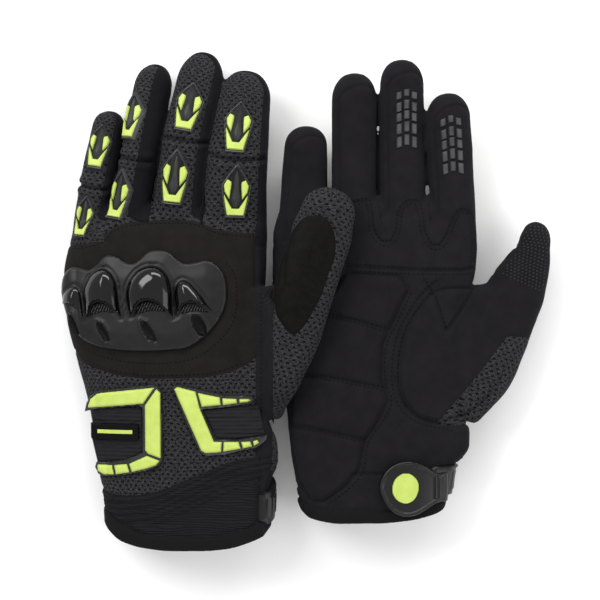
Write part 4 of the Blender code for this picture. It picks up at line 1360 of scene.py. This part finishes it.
# For each finger: how far the guard's middle lies from the crease, its length, its width, and how
# many degrees it is turned round the finger.
LEFT_BASE = {"little": (-14.0, 21.5, 10.8, 0), "ring": (-17, 25.5, 12.5, 22),
             "middle": (-16.5, 26.5, 15.0, 10), "index": (-14.0, 26, 15.0, -4)}
LEFT_TIP = {"little": (20.0, 22.5, 12.4, -4), "ring": (20.5, 23.5, 12.5, 30),
            "middle": (16.5, 25, 14.5, 6), "index": (15.5, 25, 14.8, 6)}
RIGHT_SCALE = 0.92


def finger_guards(skin):
    """The kite-shaped guards on every finger's back, with their lime inserts."""
    side = skin.glove.side
    left = side == "left"
    scale = 1.0 if left else RIGHT_SCALE
    for key in FINGERS:
        digit = skin.digits[key]
        crease = digit.at_y(skin.joint_y(key + "_bend"))
        for part, half, table in (("base", "lower", LEFT_BASE), ("tip", "upper", LEFT_TIP)):
            reach, length, width, turn = table[key]
            place = DigitPlace(skin, digit, 1, crease + reach * scale, lift=0.2, turn=turn if left else 0)
            stretch = np.array([width / GUARD_SIZE[0], length * scale / GUARD_SIZE[1]])
            body = f"{key}_{half}" if f"{side}_{key}_{half}" in frame["bodies"] else "hand"
            name = f"{key}_{part}_guard"
            for suffix, shapes, height, pitch, sink, look, sharp in GUARD_LAYERS:
                parts = [relief(shape * stretch, place, height, pitch, sink) for shape in shapes]
                node = name if suffix == "base" else None
                skin.lay(f"{name}_{suffix}", joined(parts), look, sharp, body, node)


def kite_rim(flat, edge):
    """A raised rim round a lower floor."""
    return RIM_RISE * bevel(edge, 0.35) - (RIM_RISE - 0.7) * smooth_step(edge, 0.75, 1.0)


def spear_height(flat, edge):
    """A ridge along the guard's middle."""
    return 0.9 + (SPEAR_RISE - 0.9) * np.clip(edge / 1.3, 0, 1)


KITE_SHAPE = np.array(KITE)
EYE_SHAPE = np.array(LIME_EYE)
# Each layer of a guard: its name and shapes, its height, the spacing of its points, how far its foot
# sinks, its look, and the angle in degrees beyond which an edge is sharp.
GUARD_LAYERS = (
    ("base", (KITE_SHAPE,), kite_rim, 0.4, 0.6, "rim", 38),
    ("spear", (np.array(SPEAR),), spear_height, 0.35, 0.6, "guard", 30),
    ("recess", (KITE_SHAPE * 0.88,), flat_top(RECESS_RISE, 0.2), 0.5, -0.5, "recess", 38),
    ("lime", (np.array(LIME_CUP), EYE_SHAPE, EYE_SHAPE * (-1, 1)), flat_top(LIME_RISE, 0.75), 0.3, 0.6,
     "lime", 38))


# ---------------------------------------------------------------- knuckle guard

PLATE_OUTLINE = ((0, -31.5), (-0.5, -24.5), (1, -19), (5, -15.5), (9, -15.5), (14, -16.5), (18, -14),
                 (21, -10.5), (24, -9.5), (28, -10.5), (32, -13), (36, -13.5), (39, -11.5), (43, -8),
                 (48, -7), (53, -8),
                 (56.5, -11), (60.5, -13.5), (66.5, -13), (71, -12), (76, -14), (80, -19), (81.5, -25.5),
                 (81, -33.5), (77.5, -41.5), (71, -49), (62.5, -54.5), (52, -56), (38, -56.5), (24.5, -55.5),
                 (16, -53.5), (9, -49.5), (3.5, -41.5))
# Each dome: its arch from one lower end round the top to the other, then its hollow lower lip.
DOMES = (
    (((0.2, -33.5), (1, -29), (3.5, -26.0), (6.5, -24.8), (8.8, -26.5), (10.2, -31.5), (11.3, -41.5)),
     ((9.2, -36.5), (6, -33.7), (3, -32.8)), 4.0),
    (((13, -40.5), (11.7, -34), (11.2, -28), (13, -22.5), (16.5, -18.3), (21, -16.3), (24.7, -18),
      (27.3, -22.5), (28.4, -28), (29.2, -34), (30.3, -40)),
     ((27.5, -36.5), (24.5, -33.6), (21, -31.8), (17, -32), (14.5, -34.5)), 6.0),
    (((34.8, -39.5), (33, -34), (32.4, -28), (34, -22.5), (37.5, -17.8), (42, -15.3), (47, -15), (51, -17.3),
      (53.7, -22), (54.8, -27.5), (55, -34), (55.6, -40)),
     ((52, -35.5), (48, -32.3), (43.5, -31), (39.5, -31.5), (37.2, -34)), 6.6),
    (((57.4, -39), (56.5, -33), (56, -28), (57.5, -23.5), (60, -21.8), (63, -22.8), (65.5, -25.3),
      (69.5, -30), (73, -35), (77.5, -39)),
     ((72, -35.0), (68.5, -33), (64, -32), (60.5, -33), (58.5, -35.5)), 4.8))
# The vents under the domes' lips, filled with black sheets that are painted shade in the openings, crossed by the
# light slats.
VENTS = (((14.6, -39.2), (14.6, -35.2), (17, -33.0), (21, -32.6), (24.4, -34.4), (27.5, -38.2), (21, -37.4)),
         ((37, -38.8), (37.6, -34.6), (40.5, -32.2), (44, -31.8), (48.4, -33.2), (52.5, -37.2), (44, -37)),
         ((59, -38.4), (59.4, -34.8), (62, -32.8), (65.5, -33), (69.4, -34.6), (73.4, -37.8), (66, -37.2)))
DOME_FOOT = 2.4                 # where a dome starts above the hand
SLAT_STEP = 1.35
SLAT_WIDTH = 0.5
SLAT_LEAN = 0.45
# The slanted scoops below the domes: hollows in the plate filled with black, painted shade in the slots.
SCOOPS = (((3, -38), (5, -38.6), (7.2, -43.5), (9.2, -50), (6.3, -48.5), (3.6, -43.5)),
          ((17.6, -42), (20.5, -43), (23.4, -47), (24.6, -52), (21.6, -51), (18.6, -46.5)),
          ((39.6, -41.5), (42.5, -42.5), (45.9, -47), (47.6, -51.6), (43.6, -50.5), (40.6, -46)),
          ((64.2, -38.8), (68, -39), (70.9, -43.5), (71.6, -49.2), (68.2, -48.5), (65.2, -44)))


def knuckle_guard(skin):
    """The plate over the knuckles, its glossy domes, their vents and the slanted scoops; the vents and scoops are
    filled black as painted shade.
    """
    place = HandPlace(skin, 1, lift=0.2, margin=7.0)
    rings = [rounded(arch + lip, True, 1.0) for arch, lip, _ in DOMES]

    def plate_height(flat, edge):
        rise = 2.0 * bevel(edge, 1.6) + 0.8 * smooth_step(edge, 1, 9)
        for scoop in SCOOPS:
            inside = ring_distance(scoop, flat)
            rise -= 1.3 * smooth_step(inside, -0.5, 0.8) + groove(inside + 0.9, 0.45, 0.7)
        for ring in rings:
            rise += groove(ring_distance(ring, flat) + 0.9, 0.45, 0.6)
        return rise

    domes = []
    for arch, lip, peak in DOMES:
        arch_line = rounded(arch, False, 0.8)

        def dome_height(flat, edge, arch_line=arch_line, peak=peak):
            return DOME_FOOT + peak * bevel(path_distance(arch_line, flat), 8.6) * bevel(edge + 0.15, 0.5)

        shape = np.concatenate([arch_line, rounded(lip, False, 0.8)])
        domes.append(relief(shape, place, dome_height, 0.4, sink=-1.5))
    # the vents' black sheets are painted shade under the domes' lips
    vents = [relief(vent, place, flat_top(3.3, 0.4), 0.4, sink=-1.0) for vent in VENTS]
    slats = [relief(slat, place, flat_top(3.8, 0.15), 0.25, sink=-2.5)
             for vent in VENTS for slat in vent_slats(vent)]
    # the scoops are black fillings in the plate's hollows: painted shade
    scoops = [relief(shrunk(scoop, 0.8), place, scoop_height, 0.35, sink=-0.2) for scoop in SCOOPS]
    plate = relief(rounded(PLATE_OUTLINE, True, 1.0), place, plate_height, 0.7)
    skin.lay("knuckle_guard_plate", plate, "plate", 40, node="knuckle_guard")
    for name, parts, look in (("domes", domes, "dome"), ("vents", vents, "black"),
                              ("slats", slats, "slat"), ("scoops", scoops, "black")):
        skin.lay("knuckle_guard_" + name, joined(parts), look, 45)


def vent_slats(vent):
    """The outlines of the slanted slats inside a vent."""
    vent = np.array(vent, float)
    found = []
    for x in np.arange(vent[:, 0].min(), vent[:, 0].max(), SLAT_STEP):
        steps = np.arange(-4.0, 4.0, 0.1)
        line = np.stack([x + steps * SLAT_LEAN, vent[:, 1].mean() + steps], 1)
        inside = line[ring_distance(vent, line) > 0.35]
        if len(inside) > 8:
            a, b = inside[0], inside[-1]
            found.append([a, a + (SLAT_WIDTH, 0), b + (SLAT_WIDTH, 0), b])
    return found


def scoop_height(flat, edge):
    """A black filling for a slot, painted shade, that deepens away from its edge."""
    return 2.1 - 0.35 * smooth_step(edge, 0.2, 1.4)


def shrunk(outline, share):
    """An outline drawn in towards its own middle."""
    outline = np.array(outline, float)
    middle = outline.mean(0)
    return middle + (outline - middle) * share


# ---------------------------------------------------------------- cuff guards

C_BASE = ((11, -86), (12, -82), (14, -78.5), (17.5, -75.5), (31, -74), (45.5, -72), (48.5, -73), (50, -76),
          (50.5, -108), (48.5, -111.5), (43, -114), (33.5, -116), (23.5, -117.5), (18, -116.5), (16.2, -113),
          (17, -110.3), (23.5, -110.3), (31, -109), (38, -106.3), (40.3, -105), (40.3, -84), (38.5, -82.5),
          (28.5, -83.5), (15, -85))
C_LIME = (((12.7, -84), (14.2, -79.7), (17.7, -77), (21, -76.4), (46.4, -73.6), (40.8, -81.6), (15, -84)),
          ((47.3, -74.3), (49.4, -76.3), (49.4, -108), (43, -105.8), (41.6, -104), (41.6, -82.3)),
          ((48.9, -109), (47, -111.3), (42.5, -112.9), (35, -114.8), (33.6, -110.8), (42.5, -106.6)),
          ((34, -115), (27, -116.2), (26, -111.6), (32.7, -110.8)),
          ((26.2, -116.3), (21, -116.6), (17.7, -114.8), (17.4, -111.5), (25.2, -111.6)))
Z_BASE = ((54.5, -73), (57.5, -72), (67, -74), (79.5, -77), (93.5, -77.5), (95, -79.5), (92.5, -81.5),
          (79.5, -83.3), (69.5, -84.3), (76, -98.3), (86.5, -98.5), (95, -97), (101, -96.2), (100.5, -99),
          (95.5, -102.7), (88, -104), (80, -106), (71, -106.6), (68, -104.8), (61.5, -90.5))
Z_LIME = (((55.8, -74.4), (57.5, -73.2), (66.3, -75.4), (68.2, -83), (75.2, -99.5), (79, -99.5),
           (78.6, -104.6), (71, -105.2), (68.9, -104), (62.5, -89.5)),
          ((67.2, -76), (78, -78.2), (78.4, -82), (69.2, -82.9)),
          ((78.9, -78.5), (86, -79), (86.3, -81.1), (79.4, -82)),
          ((87, -79), (91.5, -78.9), (93.3, -79.6), (91, -80.6), (87.4, -81)),
          ((79.7, -99.5), (87, -99.5), (88, -102.9), (79.5, -104.4)),
          ((88, -99.5), (92.6, -99.3), (93.5, -101.8), (89, -102.8)),
          ((93.7, -99.2), (96, -98.6), (96.8, -100.2), (94.3, -101.6)))
C_PANEL = ((15.5, -84.8), (28, -83.8), (40.2, -83.5), (40.2, -105), (32, -108.8), (17.5, -110.2), (14.5, -98))
Z_PANEL = ((70, -84.5), (86, -82.9), (96.5, -82), (99.5, -96), (88, -98), (76.4, -98.2))
BADGE = ((14.2, -91.2), (37.6, -91), (38.8, -92), (38.8, -98.6), (37.6, -99.4), (15.2, -99.6), (14.2, -98.6))
BADGE_STRIPE = ((17.5, -94.2), (35.8, -94), (35.8, -96.4), (17.5, -96.6))


def cuff_guards(skin):
    """The two bent guards of the wrist, their panels and the plain badge between the arms."""
    squeeze = 1.0 if skin.glove.side == "left" else 0.85
    place = HandPlace(skin, 1, lift=0.2, margin=5.0, squeeze=squeeze)
    for node, base, limes in (("cuff_guard_outer", C_BASE, C_LIME), ("cuff_guard_inner", Z_BASE, Z_LIME)):
        skin.lay(node + "_base", relief(base, place, guard_frame, 0.5), "guard", 38, node=node)
        parts = [relief(lime, place, lime_bar, 0.5, sink=-0.6) for lime in limes]
        skin.lay(node + "_lime", joined(parts), "lime", 38)
    panels = [relief(panel, place, ribbed_panel, 0.45) for panel in (C_PANEL, Z_PANEL)]
    skin.lay("cuff_panels", joined(panels), "elastic", 60)
    skin.lay("badge", relief(BADGE, place, flat_top(2.0, 0.6), 0.5), "black", 40)
    skin.lay("badge_stripe", relief(BADGE_STRIPE, place, flat_top(2.5, 0.4), 0.4, sink=-1.5), "lime", 40)


def guard_frame(flat, edge):
    """The dark frame under the lime bars, with a raised lip."""
    return 1.2 * bevel(edge, 0.6) + 0.5 * np.exp(-((edge - 0.45) / 0.3) ** 2)


def lime_bar(flat, edge):
    """A lime bar with a flat top and softly bevelled sides."""
    return 0.9 + 1.5 * bevel(edge, 1.3)


def ribbed_panel(flat, edge):
    """Ribbed elastic."""
    return (0.45 + 0.28 * np.cos(2 * math.pi * flat[:, 1] / FINE_RIB)) * bevel(edge, 0.5)


# ---------------------------------------------------------------- wrist strap

TAB_OUTLINE = ((51, -122), (52, -117), (55, -112.5), (59.5, -109.5), (65, -108.5), (70.5, -109.5),
               (74.5, -111.5), (77.5, -113.6), (81, -114.8), (84.5, -114.8), (84.5, -128.2),
               (81.5, -128.4), (77.5, -129.9),
               (73.5, -132.5), (68.5, -135), (62.5, -135.5), (57, -133), (53.5, -128.5))
TAB_MARK = ((57.2, -122), (58.6, -117.4), (62.3, -114.6), (66.3, -114.8), (69.6, -118), (70.2, -122.4),
            (68.2, -127), (64.4, -129.2), (60.4, -128.2), (58, -125.6))
HOOK_OUTLINE = ((56, -116), (80, -116.5), (80, -127), (56, -128))
TAB_LIFT = 2.0
TAB_SHIFT = {"left": (2.0, -4.5), "right": (0.0, 0.0)}


TAB_MIDDLE = -121.6             # y of the tab's middle line
TAB_NECK = 77.8                 # x where its ribbed neck begins


def tab_height(flat, edge):
    """The moulded tab: a raised rim round a sunken face, and ribs across its neck."""
    head = smooth_step(TAB_NECK + 1.7 - flat[:, 0], 0, 2.5)
    rise = 2.3 * bevel(edge, 1.0) - 0.8 * smooth_step(edge, 1.6, 2.4) * head
    neck = (np.abs(flat[:, 1] - TAB_MIDDLE) < 5.2) & (flat[:, 0] > TAB_NECK)
    ribs = 0.5 * np.clip(np.sin(2 * math.pi * flat[:, 0] / FINE_RIB), 0, 1)
    return rise + np.where(neck, ribs, 0) * smooth_step(edge, 0.8, 1.6)


def strap(skin):
    """The closing tab, its hook patch, and the strap that wraps the hand's inner edge."""
    side = skin.glove.side
    joint = next(j for j in frame["joints"] if j["name"] == side + "_strap_open")
    root_x, root_y = joint["pos_m"][0], joint["pos_m"][1]
    shift = np.array(TAB_SHIFT[side])
    bend = (root_x + 5 * MM, root_y, 0), (root_x - MM, root_y, 0)
    palm = HandPlace(skin, -1, lift=TAB_LIFT, margin=7.0, droop=0.075)

    def place(flat):
        return palm(flat + shift)

    tab = relief(rounded(TAB_OUTLINE, True, 1.2), place, tab_height, 0.5)
    tab = add_piece(side + "_strap_tab_shape", *tab, "tab", sharp=40)
    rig.replaces(tab, side + "_strap_tab")
    mark = relief(rounded(TAB_MARK, True, 1.2), place, flat_top(2.3, 0.4), 0.4, sink=-1.2)
    mark = add_piece(side + "_tab_mark", *mark, "lime", sharp=40)
    for piece in (tab, mark):
        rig.blend(piece, side + "_hand", side + "_strap", *bend)
    hook = relief(np.array(HOOK_OUTLINE) + shift, HandPlace(skin, -1, lift=0.1), flat_top(1.2, 0.5), 0.7)
    skin.lay("hook_shape", hook, "black", 40, node="hook_patch")
    skin.lay("strap_wrap", strap_wrap(skin.glove, root_y / MM), "tab", 45, node="strap_anchor")


WRAP_END = {"left": 34, "right": 52}         # degrees round the wrist, on the back
WRAP_DROP = {"left": -8.0, "right": 0.0}     # how much lower the strap ends there


WRAP_START = -50                             # degrees, on the palm
WRAP_ROWS = 46
WRAP_THICK = 2.6
WRAP_HALF = 7.2                              # half its height on the palm
WRAP_FLARE = 1.4                             # how much higher it is on the back


def strap_wrap(glove, centre_y):
    """The strap's moulded end around the inner edge of the wrist, from the palm to the back."""
    turns = np.radians(np.linspace(WRAP_START, WRAP_END[glove.side], WRAP_ROWS))
    steps = np.linspace(-1, 1, 25)
    across, rise = superellipse(turns, HAND_POWER)
    points = []
    for lift in (WRAP_THICK, 0.2):
        for i, turn in enumerate(turns):
            rounded_end = 1 - 0.25 * smooth_step(i, WRAP_ROWS - 6, WRAP_ROWS - 1)
            half_height = (WRAP_HALF + WRAP_FLARE * smooth_step(turn, 0.0, 0.8)) * rounded_end
            middle_y = centre_y + WRAP_DROP[glove.side] * smooth_step(turn, -0.6, 0.4)
            for step in steps:
                y = middle_y + step * half_height
                outer, inner, deep = (float(v) for v in glove.row(y))
                edge = min(1 - abs(step), 1 - abs(2 * i / (WRAP_ROWS - 1) - 1) ** 3)
                ribs = 0.45 * max(math.sin(i * 1.35), 0) if abs(step) < 0.62 and lift > 1 else 0
                stand = lift + (min(edge * 12, 1) - 1) * 0.9 + ribs
                x = (outer + inner) / 2 + across[i] * ((inner - outer) / 2 + stand)
                points.append((x, y, glove.mid(x) + glove.back * rise[i] * (deep + stand)))
    tris = grid_faces(len(turns), len(steps))
    total = len(turns) * len(steps)
    faces = np.concatenate([tris, tris[:, ::-1] + total, walls(boundary(tris), total)])
    if glove.back > 0:
        faces = faces[:, ::-1]
    return np.array(points), faces


# ---------------------------------------------------------------- grip tiles and dots

TILE_ROWS = ((13.0, 3.2), (7.7, 4.2), (2.8, 4.2), (-3.2, 5.6), (-10.6, 6.4))
TILE_COLUMNS = (-3.7, 0.0, 3.7)
DOT_SIZE = 0.95
TILE_HALF = 1.35
TILE_LEAN = 0.28
TILE_DROP = 0.35


def grip_tiles(skin, key, middle_y, shift):
    """Five rows of three silicone tiles on a fingertip's palm side."""
    digit = skin.digits[key]
    place = DigitPlace(skin, digit, -1, digit.at_y(middle_y), lift=0.1)
    parts = []
    for row, length in TILE_ROWS:
        for column in TILE_COLUMNS:
            lean = TILE_LEAN * np.sign(column)
            middle = row - TILE_DROP * abs(column)
            corners = [(column + x + shift, middle + end * length / 2 - lean * x)
                       for x, end in ((-TILE_HALF, -1), (TILE_HALF, -1), (TILE_HALF, 1), (-TILE_HALF, 1))]
            parts.append(relief(corners, place, flat_top(0.75, 0.3), 0.45, sink=0.3))
    piece = add_piece(f"{skin.glove.side}_{key}_grip_tiles", *joined(parts), "tile", sharp=40)
    skin.attach(piece, key + "_tip")


def grain(centre, along, across, out, length, width, rise):
    """One stitch or dot: a small closed oval mound."""
    sides = 6
    turn = np.arange(sides) * 2 * math.pi / sides
    ring = (np.cos(turn)[:, None] * along * length / 2 + np.sin(turn)[:, None] * across * width / 2)
    points = np.concatenate([centre + ring - out * 0.25, centre + ring * 0.75 + out * rise * 0.7,
                             [centre + out * rise], [centre - out * 0.3]])
    tris = []
    for i in range(sides):
        j = (i + 1) % sides
        tris += [(i, j, sides + j), (i, sides + j, sides + i), (sides + i, sides + j, 2 * sides),
                 (j, i, 2 * sides + 1)]
    return points, np.array(tris)


def grip_dots(skin):
    """The dotted grip patch on the thumb's tip, palm side."""
    thumb = skin.thumb
    spots = []
    for row, along in enumerate(np.arange(thumb.length * 0.7, thumb.length * 0.975, 1.55)):
        wide = float(thumb.at(along, thumb.wide * thumb.shrink))
        for across in np.arange(-wide, wide, 1.9) + (row % 2) * 0.95:
            if abs(across) < wide * 0.78 and across < 5.5 + 0.3 * (thumb.length - along):
                spots.append((across, along))
    points, out = DigitPlace(skin, thumb, -1)(np.array(spots))
    level = np.array((1.0, 0, 0))
    parts = [grain(p, level, np.cross(o, level), o, DOT_SIZE, DOT_SIZE, 0.4) for p, o in zip(points, out)]
    dots = add_piece(skin.glove.side + "_thumb_grip_dots", *joined(parts), "guard", sharp=60)
    skin.attach(dots, "thumb_tip")


# ---------------------------------------------------------------- stitches

def shifted_path(path, distance):
    """A path moved sideways."""
    ahead = np.gradient(path, axis=0)
    ahead /= np.maximum(np.linalg.norm(ahead, axis=1, keepdims=True), 1e-9)
    return path + np.stack([-ahead[:, 1], ahead[:, 0]], 1) * distance


def evenly(path, spacing):
    """Points at even spacing along a path, and the directions there."""
    steps = np.linalg.norm(np.diff(path, axis=0), axis=1)
    knots = np.concatenate([[0], np.cumsum(steps)])
    at = np.arange(spacing / 2, knots[-1], spacing)
    before, points, after = (np.stack([np.interp(at + step, knots, path[:, i]) for i in (0, 1)], 1)
                             for step in (-0.4, 0.0, 0.4))
    ahead = after - before
    return points, ahead / np.maximum(np.linalg.norm(ahead, axis=1, keepdims=True), 1e-9)


def row_of_stitches(path, place, spacing=2.1, length=1.45, width=0.6, rise=0.3):
    """Stitches along a path: where each one is, and its mesh."""
    flat, ahead = evenly(path, spacing)
    points, out = place(flat)
    missed = place.missed
    ahead_points = place(flat + ahead * 0.3)[0]
    found = []
    for point, way, ahead_point, bare in zip(points, out, ahead_points, missed | place.missed):
        along = ahead_point - point
        if bare or not 1e-6 < np.linalg.norm(along) < 0.9:
            continue
        along /= np.linalg.norm(along)
        found.append((point, grain(point, along, np.cross(way, along), way, length, width, rise)))
    return found


def add_stitches(skin, name, found, look="thread"):
    """Put stitches into one piece for each moving group."""
    points = np.array([point for point, _ in found])
    groups = skin.groups(skin.lines(points[:, 0], points[:, 1]).get)
    for group in sorted(set(groups)):
        parts = [mesh for (_, mesh), mine in zip(found, groups == group) if mine]
        skin.attach(add_piece(f"{skin.glove.side}_{group}_{name}", *joined(parts), look, sharp=70), group)


def stitches(skin):
    """All the stitch rows of one glove."""
    for name, face, rows in (("palm_stitches", -1, PALM_STITCHES), ("back_stitches", 1, BACK_STITCHES)):
        place = HandPlace(skin, face, skin.final)
        found = []
        for path, offsets in rows:
            line = rounded(path, False, 1.0)
            for offset in offsets:
                found += row_of_stitches(shifted_path(line, offset), place)
        add_stitches(skin, name, found, "black")
    patch = np.array([(a, s * skin.thumb.length) for a, s in THUMB_PATCH])
    ring = rounded(patch, True, 1.0)
    place = DigitPlace(skin, skin.thumb, 1, 0.0, skin.final)
    found = []
    for offset in (1.2, 2.6):
        found += row_of_stitches(shifted_path(ring, offset), place, 1.9, 1.3, 0.5)
    add_stitches(skin, "patch_stitches", found)


# ---------------------------------------------------------------- lining

LINING_DEPTH = 1.9              # how far the lining lies inside the outer skin


def lining(skin):
    """The inside of the hand and the turned edge of the cuff."""
    work = skin.patchwork
    glove = skin.glove
    groups = skin.groups(work.centre)
    used, tris = work.taken((groups == "hand") & (work.centre("ly") < -6))
    outer = work.xyz[used]
    inner = outer - skin.normals[used] * LINING_DEPTH
    rim = boundary(tris)
    low = np.abs(work["below"][used][rim]).max(1) < 0.6
    tris = np.concatenate([tris[:, ::-1] + len(used), walls(rim[low], len(used))])
    xyz = np.concatenate([outer, inner])
    kept, inverse = np.unique(tris, return_inverse=True)
    piece = add_piece(glove.side + "_lining", xyz[kept], inverse.reshape(-1, 3), "lining",
                      weave=xyz[kept], sharp=50)
    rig.ride(piece, glove.side + "_hand")


# ---------------------------------------------------------------- stage

CAMERA_PLACE = (-0.003, -0.0005, 0.835)
LENS = 100.0
SENSOR = 36.0
FLOOR_COLOUR = (0.93, 0.93, 0.93)
FLOOR_HALF = 6.0
WORLD_STRENGTH = 0.62


def area_light(name, place, size, power, target=(0, 0, 0.02), tall=None):
    """A soft lamp that looks at the target."""
    lamp = bpy.data.lights.new(name, "AREA")
    lamp.shape = "RECTANGLE"
    lamp.size = size
    lamp.size_y = tall or size
    lamp.energy = power
    obj = bpy.data.objects.new(name, lamp)
    obj.location = place
    direction = Vector(target) - Vector(place)
    obj.rotation_euler = direction.to_track_quat("-Z", "Y").to_euler()
    bpy.context.scene.collection.objects.link(obj)


def build_stage():
    """Pale floor, soft light and the camera over the pair."""
    scene = bpy.context.scene
    mesh = bpy.data.meshes.new("floor")
    corners = [(x * FLOOR_HALF, y * FLOOR_HALF, 0) for x, y in ((-1, -1), (1, -1), (1, 1), (-1, 1))]
    mesh.from_pydata(corners, [], [(0, 1, 2, 3)])
    mesh.materials.append(Paint("floor_look", FLOOR_COLOUR, 0.9).material)
    floor = bpy.data.objects.new("floor", mesh)
    floor.location.z = -0.0002
    scene.collection.objects.link(floor)
    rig.stage(floor)
    world = bpy.data.worlds.new("studio")
    scene.world = world
    world.use_nodes = True
    sky = world.node_tree.nodes["Background"].inputs
    sky["Color"].default_value = (1, 1, 1, 1)
    sky["Strength"].default_value = WORLD_STRENGTH
    area_light("key", (-0.55, 0.45, 0.75), 0.5, 6)
    area_light("top_strip", (0.1, 0.75, 0.55), 0.9, 5, tall=0.2)
    area_light("fill", (0.75, -0.15, 0.6), 0.7, 3)
    area_light("front", (-0.1, -0.8, 0.6), 0.8, 2)
    scene.view_settings.view_transform = "Standard"
    scene.view_settings.look = "None"
    scene.view_settings.exposure = 0.0
    data = bpy.data.cameras.new("camera")
    data.lens = LENS
    data.sensor_width = SENSOR
    camera = bpy.data.objects.new("camera", data)
    camera.location = CAMERA_PLACE
    scene.collection.objects.link(camera)
    scene.camera = camera


# ---------------------------------------------------------------- the pair

def stand_in(skin):
    """Say which CAD nodes the fabric panels stand for."""
    side = skin.glove.side
    pieces = skin.pieces
    pairs = [(("hand", "air_mesh"), ("hand_back",)),
             (("hand", "palm_suede"), ("hand_palm", "thumb_gusset")),
             (("hand", "pad_suede"), ("palm_pad",)), (("hand", "elastic"), ("cuff_band",)),
             (("hand", "binding"), ("cuff_hem",)), (("thumb_root", "palm_suede"), ("thumb_base",)),
             (("thumb_tip", "palm_suede"), ("thumb_tip",))]
    for key in FINGERS:
        pairs.append(((key + "_root", "palm_suede"), (key + "_base",)))
        pairs.append(((key + "_tip", "palm_suede"), (key + "_tip",)))
    for piece, nodes in pairs:
        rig.replaces(pieces[piece], *(f"{side}_{node}" for node in nodes))


def build_glove(glove):
    """One glove with everything on it."""
    skin = Skin(glove)
    skin.panels()
    stand_in(skin)
    lining(skin)
    finger_guards(skin)
    knuckle_guard(skin)
    cuff_guards(skin)
    strap(skin)
    grip_tiles(skin, "middle", 88.0 if glove.side == "right" else 92.0, 1.7)
    grip_tiles(skin, "index", 75.0 if glove.side == "right" else 86.0, 0.4)
    grip_dots(skin)
    stitches(skin)
    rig.padded(skin.pieces["hand", "pad_suede"], fill=0.5)


def main():
    """Build both gloves and the stage."""
    for glove in (LEFT, RIGHT):
        build_glove(glove)
    build_stage()


main()
low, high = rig.bounds()
with open("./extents.json", "w") as out:
    json.dump({"cad": [list(corner) for corner in CAD_BOUNDS], "visual": [list(low), list(high)]}, out)
